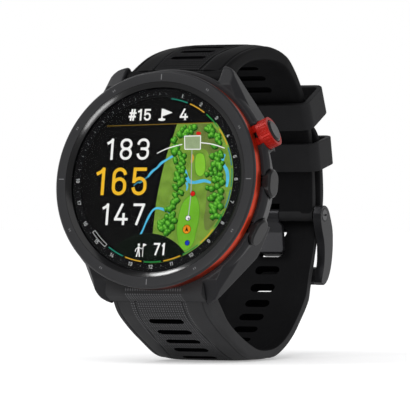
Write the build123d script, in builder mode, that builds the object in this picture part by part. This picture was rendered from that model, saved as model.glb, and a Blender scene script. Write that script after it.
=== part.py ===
from build123d import *
import os
from math import sin, cos, radians, sqrt, atan2

# GPS wrist watch for golf: round case with a rotating-look bezel, display, three side
# keys and a two-piece silicone band closed with a tang buckle. The band is buckled into
# a loop and the watch stands on the loop with its face leaning back.
# All lengths in millimetres. X = 3 o'clock, -Y = the way the face looks, Z = up.

# ---------------------------------------------------------------- driving dimensions
LEAN = 9.56                  # backward lean of the face, degrees
SHIFT = (-0.4395, -7.1895, 0.42)   # puts the origin under the middle of the bounding box
TOP = (-25.0, 38.45)         # (y, z) of the middle of the bezel's front plane

BEZEL_R = 23.05              # outer radius of the bezel's front face
BEZEL_IN = 20.75             # inner edge of the flat bezel ring
GLASS_R = 19.5
GLASS_D0, GLASS_T = 0.6, 0.7
DISPLAY_R = 18.5
CASE_R = 24.4                # largest radius of the case body
CASE_BACK = 13.75            # depth of the case body's rear rim
CAVITY_R = 20.7
CAVITY_FLAT = 18.9           # the cavity is cut off flat beside both strap recesses
RECESS_U = 19.7              # front wall of the strap recess between the lugs

LUG_GAP = 22.5               # between the lugs
PIN_U, PIN_D, PIN_R = 22.3, 8.0, 0.9
BARREL_R = 2.3               # rounded strap end around the lug pin
HOOK_R = 1.62                # hard insert in the strap end
PIN_RUN = 0.06               # running clearance on the lug pins

BAND_W = 22.0                # band width at the lugs
BAND_W_END = 19.4            # band width at the buckle end
BAR_Y, BAR_Z, BAR_R = 36.0, 30.8, 0.75    # buckle bar
WRAP_R = 1.4                 # band end around the bar
BUCKLE_IN, BUCKLE_OUT = 10.3, 12.2       # inner and outer face of a buckle arm

BUTTON_D = 6.95              # depth of the key axes below the bezel plane
CAP_D = 6.1                   # depth of the key caps
KEY_ANGLES = (25.0, 0.0, -25.0)
KEY_TRAVEL = 0.6

# ---------------------------------------------------------------- frames
st, ct = sin(radians(LEAN)), cos(radians(LEAN))
CX, CY, CZ = SHIFT
O = Vector(CX, TOP[0] + CY, TOP[1] + CZ)
XD, UD, DD = Vector(1, 0, 0), Vector(0, st, ct), Vector(0, ct, -st)
head = Plane(origin=O, x_dir=(1, 0, 0), z_dir=(0, -ct, st))
meridian = Plane(origin=O, x_dir=(1, 0, 0), z_dir=(0, -st, -ct))   # (r, -depth)
spin = Axis(O, (0, -ct, st))
side = Plane(origin=(CX, CY, CZ), x_dir=(0, 1, 0), z_dir=(1, 0, 0))  # (y, z), extruded along X
mid_x = Plane(origin=O, z_dir=(1, 0, 0))
mid_u = Plane(origin=O, z_dir=(0, st, ct))


def deep(d):
    # plane parallel to the face, d below the bezel's front plane
    return head.offset(-d)


def hv(x, u, d):
    # point given by x, height towards 12 o'clock and depth below the bezel plane
    return O + XD * x + UD * u + DD * d


def sd(u, d):
    # the same point, seen in the side plane
    return (TOP[0] + u * st + d * ct, TOP[1] + u * ct - d * st)


def key_plane(angle, r):
    a = radians(angle)
    radial = XD * cos(a) + UD * sin(a)
    tangent = UD * cos(a) - XD * sin(a)
    return Plane(origin=hv(0, 0, BUTTON_D) + radial * r, x_dir=tangent, z_dir=radial)


def cap_plane(angle, r):
    # the caps sit nearer the bezel than their stems
    a = radians(angle)
    radial = XD * cos(a) + UD * sin(a)
    tangent = UD * cos(a) - XD * sin(a)
    return Plane(origin=hv(0, 0, CAP_D) + radial * r, x_dir=tangent, z_dir=radial)


def inward(points, by):
    # points moved to the left of their path by a distance
    out = []
    for i, (y, z) in enumerate(points):
        y0, z0 = points[max(i - 1, 0)]
        y1, z1 = points[min(i + 1, len(points) - 1)]
        ty, tz = y1 - y0, z1 - z0
        n = sqrt(ty * ty + tz * tz)
        out.append((y - tz / n * by, z + ty / n * by))
    return out


def save(builder, name):
    builder.part.label = name
    export_step(builder.part, "parts/" + name + ".step")


upper_pin_at = sd(PIN_U, PIN_D)
lower_pin_at = sd(-PIN_U, PIN_D)

# ---------------------------------------------------------------- case body
with BuildPart() as lug_block:
    # one lug at +x, 12 o'clock side, then mirrored to four
    with BuildSketch(deep(2.6)):
        with BuildLine():
            Polyline([(LUG_GAP / 2, 8), (21.5, 8), (19.6, 13.2), (17.9, 16.6), (13.95, 23.7), (13.3, 24.4),
                      (12.2, 25.0), (LUG_GAP / 2, 25.3)], close=True)
        make_face()
    extrude(amount=-12)
    with BuildSketch(side):
        with BuildLine():
            Polyline([sd(8, 3.7), sd(20.7, 3.7), sd(24.7, 6.0), sd(25.25, 6.7), sd(25.35, 7.5), sd(24.8, 8.6),
                      sd(23.4, 10.1), sd(20.4, 12.2), sd(17.0, 13.2), sd(8, 13.2)], close=True)
        make_face()
    extrude(amount=30, both=True, mode=Mode.INTERSECT)
    split(bisect_by=Plane(origin=hv(13.3, 24.5, 6.8), z_dir=XD * 4.5 + UD * 5.4 + DD * 4.5), keep=Keep.BOTTOM)
    split(bisect_by=Plane(origin=hv(17.0, 16.2, 4.4), z_dir=XD * 0.75 + UD * 0.35 - DD * 0.56), keep=Keep.BOTTOM)
    mirror(about=mid_x)
    mirror(about=mid_u)

with BuildPart() as case_body:
    with BuildSketch(meridian):
        with BuildLine():
            Polyline([(0, -2.95), (22.38, -2.95), (22.38, -3.6), (23.8, -3.6), (24.15, -4.3), (CASE_R, -5.2),
                      (24.0, -6.5), (23.2, -8.6), (22.45, -10.8), (21.8, -12.4), (21.5, -13.2), (21.0, -CASE_BACK),
                      (0, -CASE_BACK)], close=True)
        make_face()
    revolve(axis=spin)
    add(lug_block.part)
    # strap recesses, open to the back
    with BuildSketch(side):
        with BuildLine():
            Polyline([sd(RECESS_U, 4.7), sd(32, 4.7), sd(32, 20), sd(RECESS_U, 20)], close=True)
        make_face()
        with BuildLine():
            Polyline([sd(-RECESS_U, 4.7), sd(-32, 4.7), sd(-32, 20), sd(-RECESS_U, 20)], close=True)
        make_face()
    extrude(amount=LUG_GAP / 2, both=True, mode=Mode.SUBTRACT)
    # key bosses: round for the top key, oval guards for the other two
    with BuildSketch(cap_plane(KEY_ANGLES[0], 22.4)):
        Circle(3.9)
    extrude(amount=1.9, taper=8)
    for angle in KEY_ANGLES[1:]:
        with BuildSketch(cap_plane(angle, 22.4)):
            SlotOverall(7.7, 6.2)
        extrude(amount=1.2, taper=10)
    # the bosses stop at the seat of the accent ring
    with BuildSketch(deep(0)):
        Circle(30)
    extrude(amount=-2.95, mode=Mode.SUBTRACT)
    with BuildSketch(deep(0)):
        Circle(30)
        Circle(22.38, mode=Mode.SUBTRACT)
    extrude(amount=-3.6, mode=Mode.SUBTRACT)
    # front cavity, main cavity with two flats, rear opening and rear cover seat
    with BuildSketch(deep(2.95)):
        Circle(CAVITY_R)
    extrude(amount=-1.35, mode=Mode.SUBTRACT)
    with BuildSketch(deep(4.2)):
        Circle(CAVITY_R)
        Rectangle(60, 2 * CAVITY_FLAT, mode=Mode.INTERSECT)
    extrude(amount=-7.4, mode=Mode.SUBTRACT)
    with BuildSketch(deep(11.5)):
        Circle(18.9)
        Rectangle(60, 2 * 17.9, mode=Mode.INTERSECT)
    extrude(amount=-1.0, mode=Mode.SUBTRACT)
    with BuildSketch(deep(12.4)):
        Circle(20.25)
        Rectangle(60, 2 * CAVITY_FLAT, mode=Mode.INTERSECT)
    extrude(amount=-3.0, mode=Mode.SUBTRACT)
    # screw bosses
    with BuildSketch(deep(8.6)):
        with GridLocations(2 * 12.87, 2 * 12.87, 2, 2):
            Circle(1.7)
    extrude(amount=-3.8)
    with BuildSketch(deep(9.4)):
        with GridLocations(2 * 12.87, 2 * 12.87, 2, 2):
            Circle(0.6)
    extrude(amount=-5, mode=Mode.SUBTRACT)
    # lug pin holes
    for p in (upper_pin_at, lower_pin_at):
        with BuildSketch(side):
            with Locations(p):
                Circle(PIN_R)
        extrude(amount=13.5, both=True, mode=Mode.SUBTRACT)
    # key pockets and stem bores
    with BuildSketch(cap_plane(KEY_ANGLES[0], 21.9)):
        Circle(3.25)
    extrude(amount=6, mode=Mode.SUBTRACT)
    for angle in KEY_ANGLES[1:]:
        with BuildSketch(cap_plane(angle, 21.9)):
            SlotOverall(6.3, 4.9)
        extrude(amount=6, mode=Mode.SUBTRACT)
    for angle in KEY_ANGLES:
        with BuildSketch(key_plane(angle, 19.5)):
            Circle(1.4)
        extrude(amount=4, mode=Mode.SUBTRACT)
save(case_body, "case_body")

# ---------------------------------------------------------------- bezel, accent ring, glass
with BuildPart() as bezel_ring:
    with BuildSketch(meridian):
        with BuildLine():
            Polyline([(BEZEL_IN, 0), (22.75, 0), (BEZEL_R, -0.3), (23.12, -0.85), (22.3, -0.87), (22.3, -2.9),
                      (19.62, -2.9), (19.62, -0.65)], close=True)
        make_face()
    revolve(axis=spin)
    # engraved minute track: long marks at the quarters, short ones between
    with BuildSketch(deep(0)):
        with PolarLocations(21.85, 4):
            Rectangle(1.25, 0.55)
        for k in range(4):
            with PolarLocations(21.85, 2, start_angle=90 * k + 30, angular_range=60):
                Rectangle(0.6, 0.45)
    extrude(amount=-0.12, mode=Mode.SUBTRACT)
save(bezel_ring, "bezel_ring")

with BuildPart() as accent_ring:
    with BuildSketch(meridian):
        with BuildLine():
            Polyline([(22.4, -0.92), (22.95, -0.92), (23.35, -1.8), (23.65, -3.3), (23.65, -3.58), (22.4, -3.58)], close=True)
        make_face()
    revolve(axis=spin)
save(accent_ring, "accent_ring")

with BuildPart() as lens_glass:
    with BuildSketch(deep(GLASS_D0)):
        Circle(GLASS_R)
    extrude(amount=-GLASS_T)
    chamfer(lens_glass.edges().group_by(Axis(O, (0, ct, -st)))[0], 0.18)
save(lens_glass, "lens_glass")

with BuildPart() as lens_gasket:
    with BuildSketch(deep(1.32)):
        Circle(19.55)
        Circle(18.75, mode=Mode.SUBTRACT)
    extrude(amount=-1.5)
save(lens_gasket, "lens_gasket")

with BuildPart() as display_module:
    with BuildSketch(deep(1.35)):
        Circle(DISPLAY_R)
    extrude(amount=-2.5)
    with BuildSketch(deep(3.85)):
        Rectangle(22, 20)
    extrude(amount=-0.25)
save(display_module, "display_module")

with BuildPart() as display_flex:
    # ribbon that leaves the display's lower edge and folds back onto the board
    with BuildSketch(side):
        with BuildLine():
            Polyline([sd(-11.0, 4.12), sd(-16.2, 4.12), sd(-16.2, 5.1), sd(-14.2, 5.1), sd(-14.2, 4.95),
                      sd(-16.0, 4.95), sd(-16.0, 4.27), sd(-11.0, 4.27)], close=True)
        make_face()
    extrude(amount=4, both=True)
save(display_flex, "display_flex")

with BuildPart() as gps_antenna:
    with BuildSketch(deep(3.0)):
        Circle(20.5)
        Circle(19.7, mode=Mode.SUBTRACT)
        with Locations((0, 20)):
            Rectangle(3, 4, mode=Mode.SUBTRACT)
    extrude(amount=-1.1)
save(gps_antenna, "gps_antenna")

# ---------------------------------------------------------------- inside the case
with BuildPart() as inner_chassis:
    with BuildSketch(deep(4.35)):
        Circle(20.5)
        Rectangle(60, 2 * 18.7, mode=Mode.INTERSECT)
        Circle(18.35, mode=Mode.SUBTRACT)
    extrude(amount=-4.0)
    # shelf that carries the board
    with BuildSketch(deep(6.15)):
        Circle(18.6)
        Circle(17.4, mode=Mode.SUBTRACT)
    extrude(amount=-0.8)
    for angle in KEY_ANGLES:
        with BuildSketch(key_plane(angle, 15)):
            Rectangle(5.2, 3.9)
        extrude(amount=8, mode=Mode.SUBTRACT)
save(inner_chassis, "inner_chassis")

with BuildPart() as main_board:
    with BuildSketch(deep(5.2)):
        Circle(18.2)
        with Locations((17.5, 0)):
            Rectangle(3.2, 19, mode=Mode.SUBTRACT)
        with Locations((-16.5, 8)):
            Circle(1.0, mode=Mode.SUBTRACT)
    extrude(amount=-0.8)
    # processors and memory on the rear side
    with BuildSketch(deep(6.0)):
        with Locations((-15, -4)):
            Rectangle(2.4, 4)
        with Locations((5, 13.8)):
            Rectangle(5, 2.6)
        with Locations((-6, 14.2)):
            Rectangle(4, 2.2)
    extrude(amount=-0.5)
save(main_board, "main_board")

with BuildPart() as board_shield:
    with BuildSketch(deep(4.4)):
        with Locations((-2, 2)):
            RectangleRounded(17, 15, 1.0)
    extrude(amount=-0.78)
save(board_shield, "board_shield")

with BuildPart() as battery:
    with BuildSketch(deep(6.9)):
        with Locations((-1.5, -0.5)):
            RectangleRounded(22, 21, 2.5)
    extrude(amount=-4.1)
    fillet(battery.edges().group_by(Axis(O, (0, ct, -st)))[0], 0.5)
save(battery, "battery")

with BuildPart() as vibration_motor:
    with BuildSketch(deep(7.0)):
        with Locations((3.0, 13.8)):
            Circle(3.6)
    extrude(amount=-2.4)
    with BuildSketch(deep(9.4)):
        with Locations((3.0, 13.8)):
            Circle(1.0)
    extrude(amount=-0.3)
save(vibration_motor, "vibration_motor")

with BuildPart() as button_switches:
    for angle in KEY_ANGLES:
        with BuildSketch(key_plane(angle, 16.2)):
            Rectangle(3.6, 1.8)
        extrude(amount=1.6)
        with BuildSketch(key_plane(angle, 17.8)):
            Circle(0.8)
        extrude(amount=0.35)
    with BuildSketch(key_plane(0, 15.9)):
        Rectangle(17.0, 1.5)
    extrude(amount=0.3)
save(button_switches, "button_switches")

with BuildPart() as sensor_board:
    with BuildSketch(deep(11.55)):
        Circle(8.6)
        with Locations((0, -10.2)):
            Rectangle(9, 5)
    extrude(amount=-0.6)
save(sensor_board, "sensor_board")

with BuildPart() as sensor_leds:
    with BuildSketch(deep(12.15)):
        with PolarLocations(3.4, 4, start_angle=45):
            Rectangle(1.6, 1.6)
        Rectangle(2.6, 2.0)
    extrude(amount=-0.45)
save(sensor_leds, "sensor_leds")

with BuildPart() as rear_cover:
    with BuildSketch(deep(12.7)):
        Circle(20.2)
        Rectangle(60, 2 * 18.82, mode=Mode.INTERSECT)
    extrude(amount=-0.9)
    with BuildSketch(deep(13.6)):
        Circle(15.6)
    extrude(amount=-0.4, taper=25)
    # window seat, light wells, screw seats and charging recess
    with BuildSketch(deep(13.1)):
        Circle(7.0)
    extrude(amount=-3, mode=Mode.SUBTRACT)
    with BuildSketch(deep(12.2)):
        with PolarLocations(3.4, 4, start_angle=45):
            Circle(1.35)
        RectangleRounded(3.2, 2.6, 0.4)
    extrude(amount=-2, mode=Mode.SUBTRACT)
    with BuildSketch(deep(12.2)):
        with GridLocations(2 * 12.87, 2 * 12.87, 2, 2):
            Circle(0.7)
    extrude(amount=-3, mode=Mode.SUBTRACT)
    with BuildSketch(deep(13.0)):
        with GridLocations(2 * 12.87, 2 * 12.87, 2, 2):
            Circle(1.4)
    extrude(amount=-3, mode=Mode.SUBTRACT)
    with BuildSketch(deep(13.0)):
        with Locations((0, -11.0)):
            SlotOverall(8.4, 3.4)
    extrude(amount=-3, mode=Mode.SUBTRACT)
    with BuildSketch(deep(12.2)):
        with Locations((0, -11.0)):
            with GridLocations(1.7, 1, 4, 1):
                Circle(0.45)
    extrude(amount=-3, mode=Mode.SUBTRACT)
save(rear_cover, "rear_cover")

with BuildSketch() as gasket_hole:
    Circle(19.1)
    Rectangle(60, 2 * 18.0, mode=Mode.INTERSECT)

with BuildPart() as rear_gasket:
    with BuildSketch(deep(12.4)):
        Circle(20.1)
        Rectangle(60, 2 * 18.75, mode=Mode.INTERSECT)
        add(gasket_hole.sketch, mode=Mode.SUBTRACT)
    extrude(amount=-0.3)
save(rear_gasket, "rear_gasket")

with BuildPart() as sensor_window:
    with BuildSketch(deep(13.12)):
        Circle(6.95)
    extrude(amount=-0.75)
    with BuildSketch(deep(13.87)):
        Circle(6.95)
    extrude(amount=-0.35, taper=55)
save(sensor_window, "sensor_window")

with BuildPart() as rear_screws:
    with BuildSketch(deep(13.02)):
        with GridLocations(2 * 12.87, 2 * 12.87, 2, 2):
            Circle(1.3)
    extrude(amount=-0.6)
    with BuildSketch(deep(9.6)):
        with GridLocations(2 * 12.87, 2 * 12.87, 2, 2):
            Circle(0.58)
    extrude(amount=-3.5)
    with BuildSketch(deep(13.3)):
        with GridLocations(2 * 12.87, 2 * 12.87, 2, 2):
            RegularPolygon(0.62, 6)
    extrude(amount=-0.5, mode=Mode.SUBTRACT)
save(rear_screws, "rear_screws")

with BuildPart() as charging_contacts:
    with BuildSketch(deep(12.2)):
        with Locations((0, -11.0)):
            with GridLocations(1.7, 1, 4, 1):
                Circle(0.43)
    extrude(amount=-1.05)
save(charging_contacts, "charging_contacts")

# ---------------------------------------------------------------- keys
key_names = ("top_button", "middle_button", "lower_button")
for name, angle in zip(key_names, KEY_ANGLES):
    round_key = angle > 10
    with BuildPart() as button:
        with BuildSketch(cap_plane(angle, 23.1)):
            if round_key:
                Circle(2.35)
            else:
                SlotOverall(6.0, 4.6)
        extrude(amount=3.7 if round_key else 1.8)
        chamfer(button.faces().sort_by(Axis((0, 0, 0), key_plane(angle, 0).z_dir))[-1].edges(), 0.35)
        with BuildSketch(key_plane(angle, 18.8)):
            Circle(0.85)
        extrude(amount=4.4)
    save(button, name)

    with BuildPart() as spring:
        # three-turn return spring between the pocket floor and the cap
        for k in range(3):
            with BuildSketch(key_plane(angle, 21.93 + 0.4 * k)):
                Circle(1.5)
                Circle(1.2, mode=Mode.SUBTRACT)
            extrude(amount=0.28)
        with BuildSketch(key_plane(angle, 21.93)):
            with PolarLocations(1.35, 2):
                Circle(0.12)
        extrude(amount=1.08)
    save(spring, name + "_spring")

    with BuildPart() as seal:
        with BuildSketch(key_plane(angle, 21.15)):
            Circle(1.34)
            Circle(0.85, mode=Mode.SUBTRACT)
        extrude(amount=0.6)
    save(seal, name + "_seal")

    with BuildPart() as clip:
        with BuildSketch(key_plane(angle, 19.85)):
            Circle(1.75)
            Circle(0.85, mode=Mode.SUBTRACT)
            with Locations((1.4, 0)):
                Rectangle(1.4, 0.9, mode=Mode.SUBTRACT)
        extrude(amount=0.4)
    save(clip, name + "_clip")

with BuildPart() as top_button_collar:
    with BuildSketch(cap_plane(KEY_ANGLES[0], 21.95)):
        Circle(3.2)
        Circle(2.5, mode=Mode.SUBTRACT)
    extrude(amount=4.45)
    with BuildSketch(cap_plane(KEY_ANGLES[0], 24.6)):
        with PolarLocations(3.25, 24):
            Rectangle(0.3, 0.35, mode=Mode.ADD)
    extrude(amount=1.5, mode=Mode.SUBTRACT)
    # clear of the accent ring
    with BuildSketch(deep(0)):
        Circle(23.75)
    extrude(amount=-3.65, mode=Mode.SUBTRACT)
save(top_button_collar, "top_button_collar")

# ---------------------------------------------------------------- lug pins
for name, p in (("upper_lug_pin", upper_pin_at), ("lower_lug_pin", lower_pin_at)):
    with BuildPart() as lug_pin:
        with BuildSketch(side):
            with Locations(p):
                Circle(PIN_R)
        extrude(amount=13.4, both=True)
    save(lug_pin, name)

# ---------------------------------------------------------------- band profiles, side plane (y, z)
# outer and inner line of the 12 o'clock half, from its lug pin to the buckle bar
short_out = [(-14.15, 61.65), (-8.2, 64.75), (-3.0, 66.3), (3.0, 67.2), (8.0, 67.55), (13.2, 67.1), (19.1, 65.65),
             (23.7, 63.3), (27.9, 59.9), (31.9, 55.4), (34.6, 50.9), (36.4, 45.0), (37.35, 38.5), (37.6, 34.4),
             (BAR_Y + WRAP_R, BAR_Z)]
short_in = [(BAR_Y - WRAP_R, BAR_Z), (34.85, 34.1), (34.75, 38.5), (33.9, 44.0), (32.2, 49.4), (30.0, 53.2),
            (27.0, 56.9), (22.7, 60.4), (17.6, 63.0), (12.0, 64.0), (6.8, 64.1), (2.0, 63.75), (-2.6, 62.85),
            (-6.4, 61.3), (-9.4, 59.2), (-11.4, 57.3)]
# outer and inner line of the 6 o'clock half, from its lug pin round the bottom and up to the tip
tail_out_a = [(-22.45, 13.05), (-19.9, 9.75), (-16.8, 7.35), (-12.9, 4.75), (-9.4, 2.35), (-6.9, 0.6), (-4.7, -0.42)]
tail_out_b = [(11.9, -0.42), (15.1, 0.35), (17.9, 1.45), (21.2, 3.2), (23.9, 5.05), (26.0, 6.85), (29.4, 10.3),
              (32.2, 14.0), (35.0, 18.6), (37.1, 23.0), (38.8, 27.2), (40.1, 31.0), (40.65, 34.6), (40.55, 38.5),
              (39.9, 43.5), (38.6, 48.6), (37.2, 52.0), (35.6, 55.0)]
tail_in = [(33.6, 54.2), (35.0, 51.3), (36.35, 47.9), (37.55, 43.3), (38.1, 38.5), (38.25, 34.8), (37.95, 31.3),
           (36.45, 27.6), (34.75, 23.7), (32.7, 19.6), (30.1, 15.6), (27.2, 11.8), (24.0, 8.75), (20.8, 6.15),
           (17.4, 4.1), (14.0, 2.8), (11.0, 2.15), (7.6, 1.95), (4.0, 2.2), (0.4, 3.15), (-3.8, 4.7), (-8.0, 6.6),
           (-11.9, 8.9), (-15.2, 12.0), (-17.2, 14.0), (-18.75, 16.1)]


# straight taper of the band from the lugs to the buckle, seen from above
with BuildPart() as width_cut:
    w0, w1 = BAND_W / 2, BAND_W_END / 2
    with BuildSketch(Plane(origin=(CX, CY, -10))):
        for sx in (1, -1):
            with BuildLine():
                Polyline([(sx * w0, -30), (sx * w0, -13), (sx * (w0 - 0.2), 20), (sx * w1, 36), (sx * w1, 60),
                          (sx * 30, 60), (sx * 30, -30)], close=True)
            make_face()
    extrude(amount=100)
with BuildPart() as tail_width_cut:
    with BuildSketch(Plane(origin=(CX, CY, -10))):
        for sx in (1, -1):
            with BuildLine():
                Polyline([(sx * w0, -30), (sx * w0, -13), (sx * (w0 - 0.2), 31), (sx * 10.2, 34.2), (sx * 9.9, 38),
                          (sx * 9.9, 60), (sx * 30, 60), (sx * 30, -30)], close=True)
            make_face()
    extrude(amount=100)


def slot_plane(y, z, ty, tz):
    # plane square to the band at (y, z), where the band runs along (ty, tz); its x runs across the band
    n = sqrt(ty * ty + tz * tz)
    return Plane(origin=(CX, y + CY, z + CZ), x_dir=(1, 0, 0), z_dir=(0, tz / n, -ty / n))


# direction of each release slider, away from the lug pin, along the band's inner face
upper_slider = ((-7.7, 60.5), (0.80, 0.60))
lower_slider = ((-13.65, 10.55), (0.735, -0.678))


def slider_frame(spec):
    (y, z), (ty, tz) = spec
    # z of this frame points out of the band's inner face, x across the band
    n = (0, -tz, ty) if ty * tz < 0 else (0, tz, -ty)
    return Plane(origin=(CX, y + CY, z + CZ), x_dir=(1, 0, 0), z_dir=n)


# ---------------------------------------------------------------- 12 o'clock band half
vents_up = [((-8.2, 64.2), (5.0, 1.7)), ((-3.6, 65.45), (5.0, 1.1)), ((1.1, 66.1), (5.0, 0.6)),
            ((5.8, 66.6), (5.0, 0.3)), ((10.5, 66.6), (5.0, -0.4))]
with BuildPart() as short_strap:
    with BuildSketch(side):
        with BuildLine():
            a = Spline(short_out, tangents=((0.55, 1.0), (0, -1)))
            b = ThreePointArc(short_out[-1], (BAR_Y, BAR_Z - WRAP_R), short_in[0])
            c = Spline(short_in, tangents=((0, 1), (-0.6, -0.8)))
            Line(short_in[-1], short_out[0])
        make_face()
    extrude(amount=16, both=True)
    with BuildSketch(side):
        with Locations(upper_pin_at):
            Circle(BARREL_R)
    extrude(amount=BAND_W / 2, both=True)
    add(width_cut.part, mode=Mode.SUBTRACT)
    with BuildSketch(side):
        with Locations(upper_pin_at):
            Circle(HOOK_R)
    extrude(amount=BAND_W / 2, both=True, mode=Mode.SUBTRACT)
    # seat of the hard insert
    with BuildSketch(side):
        with BuildLine():
            Polyline([(-13.0, 59.95), (-10.9, 60.79), (-10.4, 59.51), (-12.4, 58.65)], close=True)
        make_face()
    extrude(amount=8.5, both=True, mode=Mode.SUBTRACT)
    for (y, z), (ty, tz) in vents_up:
        with BuildSketch(slot_plane(y, z, ty, tz)):
            SlotOverall(8.0, 1.9)
        extrude(amount=3.2, both=True, mode=Mode.SUBTRACT)
    # buckle bar bore and the notch for the tongue
    with BuildSketch(side):
        with Locations((BAR_Y, BAR_Z)):
            Circle(BAR_R)
    extrude(amount=15, both=True, mode=Mode.SUBTRACT)
    with BuildSketch(side):
        with Locations((BAR_Y, BAR_Z + 0.2)):
            Rectangle(6, 4.6)
    extrude(amount=1.75, both=True, mode=Mode.SUBTRACT)
    # release slider pocket
    with BuildSketch(slider_frame(upper_slider)):
        with Locations((0, 0)):
            Rectangle(6.4, 4.6)
    extrude(amount=-1.3, mode=Mode.SUBTRACT)
    with BuildSketch(slider_frame(upper_slider)):
        Rectangle(6.4, 4.6)
    extrude(amount=3, mode=Mode.SUBTRACT)
save(short_strap, "short_strap")

# ---------------------------------------------------------------- 6 o'clock band half
vents_down = [((-18.6, 8.9), (2.9, -2.2)), ((-14.8, 6.3), (3.8, -2.3)), ((-10.8, 4.0), (4.0, -2.6)),
              ((-6.9, 1.4), (4.0, -2.4)), ((-2.6, 0.3), (4.0, -0.2))]
holes = [((12.6, 1.2), (3.3, 0.6)), ((17.0, 2.6), (4.0, 1.5)), ((21.0, 4.7), (3.5, 2.2)),
         ((24.6, 7.6), (3.3, 2.9)), ((27.8, 10.6), (3.0, 3.4)), ((30.6, 14.1), (2.6, 3.6)),
         ((33.2, 18.0), (2.3, 4.0)), ((35.3, 22.0), (2.0, 4.2)), ((37.1, 26.4), (1.6, 4.2)),
         ((38.8, 31.0), (1.0, 4.4)), ((39.4, 35.6), (0.2, 4.5)), ((39.1, 40.2), (-0.5, 4.5))]
with BuildPart() as tail_strap:
    with BuildSketch(side):
        with BuildLine():
            Spline(tail_out_a, tangents=((0.5, -1.0), (1, 0)))
            Line(tail_out_a[-1], tail_out_b[0])
            Spline(tail_out_b, tangents=((1, 0), (-0.45, 0.9)))
            ThreePointArc(tail_out_b[-1], (34.35, 55.15), tail_in[0])
            Spline(tail_in, tangents=((0.45, -0.9), (-0.5, 0.85)))
            Line(tail_in[-1], tail_out_a[0])
        make_face()
    extrude(amount=16, both=True)
    with BuildSketch(side):
        with Locations(lower_pin_at):
            Circle(BARREL_R)
    extrude(amount=BAND_W / 2, both=True)
    add(tail_width_cut.part, mode=Mode.SUBTRACT)
    # rounded tip
    with BuildSketch(Plane(origin=(CX, 45 + CY, CZ), x_dir=(1, 0, 0), z_dir=(0, -1, 0))):
        with Locations((0, 54)):
            Rectangle(40, 20)
        with Locations((0, 46.8)):
            Circle(9.9, mode=Mode.SUBTRACT)
        with Locations((0, 44.9)):
            Rectangle(30, 4, mode=Mode.SUBTRACT)
    extrude(amount=20, mode=Mode.SUBTRACT)
    with BuildSketch(side):
        with Locations(lower_pin_at):
            Circle(HOOK_R)
    extrude(amount=BAND_W / 2, both=True, mode=Mode.SUBTRACT)
    with BuildSketch(side):
        with BuildLine():
            Polyline([(-19.9, 14.4), (-16.4, 10.9), (-17.3, 10.0), (-20.9, 13.6)], close=True)
        make_face()
    extrude(amount=8.5, both=True, mode=Mode.SUBTRACT)
    # open mouth of the hook, towards the front
    with BuildSketch(side):
        with BuildLine():
            w = PIN_R + PIN_RUN
            Polyline([sd(-PIN_U - w, PIN_D), sd(-PIN_U + w, PIN_D), sd(-PIN_U + w, 3), sd(-PIN_U - w, 3)], close=True)
        make_face()
    extrude(amount=15, both=True, mode=Mode.SUBTRACT)
    for (y, z), (ty, tz) in vents_down:
        with BuildSketch(slot_plane(y, z, ty, tz)):
            SlotOverall(8.0, 1.9)
        extrude(amount=3.2, both=True, mode=Mode.SUBTRACT)
    for (y, z), (ty, tz) in holes:
        with BuildSketch(slot_plane(y, z, ty, tz)):
            SlotOverall(5.8, 2.1)
        extrude(amount=3.2, both=True, mode=Mode.SUBTRACT)
    with BuildSketch(slider_frame(lower_slider)):
        Rectangle(6.4, 4.6)
    extrude(amount=-1.3, mode=Mode.SUBTRACT)
    with BuildSketch(slider_frame(lower_slider)):
        Rectangle(6.4, 4.6)
    extrude(amount=3, mode=Mode.SUBTRACT)
save(tail_strap, "tail_strap")

# ---------------------------------------------------------------- hard inserts and release sliders
with BuildPart() as upper_hook:
    with BuildSketch(side):
        with Locations(upper_pin_at):
            Circle(HOOK_R)
    extrude(amount=10.8, both=True)
    with BuildSketch(side):
        with BuildLine():
            Polyline([(-13.0, 59.95), (-10.9, 60.79), (-10.4, 59.51), (-12.4, 58.65)], close=True)
        make_face()
    extrude(amount=8.5, both=True)
    with BuildSketch(side):
        with Locations(upper_pin_at):
            Circle(PIN_R + PIN_RUN)
    extrude(amount=15, both=True, mode=Mode.SUBTRACT)
save(upper_hook, "upper_hook")

with BuildPart() as lower_hook:
    with BuildSketch(side):
        with Locations(lower_pin_at):
            Circle(HOOK_R)
    extrude(amount=10.8, both=True)
    with BuildSketch(side):
        with BuildLine():
            Polyline([(-20.2, 14.7), (-16.4, 10.9), (-17.3, 10.0), (-21.15, 13.85)], close=True)
        make_face()
    extrude(amount=8.5, both=True)
    with BuildSketch(side):
        with Locations(lower_pin_at):
            Circle(PIN_R + PIN_RUN)
    extrude(amount=15, both=True, mode=Mode.SUBTRACT)
    with BuildSketch(side):
        with BuildLine():
            w = PIN_R + PIN_RUN
            Polyline([sd(-PIN_U - w, PIN_D), sd(-PIN_U + w, PIN_D), sd(-PIN_U + w, 3), sd(-PIN_U - w, 3)], close=True)
        make_face()
    extrude(amount=15, both=True, mode=Mode.SUBTRACT)
save(lower_hook, "lower_hook")

for name, spec in (("upper_latch", upper_slider), ("lower_latch", lower_slider)):
    (y, z), (ty, tz) = spec
    back = 0.65          # rest position, towards the pin, inside the pocket
    fr = slider_frame(spec)
    fr = Plane(origin=fr.origin - Vector(0, ty, tz) * back, x_dir=fr.x_dir, z_dir=fr.z_dir)
    with BuildPart() as latch:
        with BuildSketch(fr.offset(-1.2)):
            RectangleRounded(5.9, 3.0, 0.4)
        extrude(amount=1.5)
        with BuildSketch(fr.offset(0.3)):
            with GridLocations(1, 0.9, 1, 3):
                Rectangle(4.6, 0.4)
        extrude(amount=0.25)
    save(latch, name)

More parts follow.
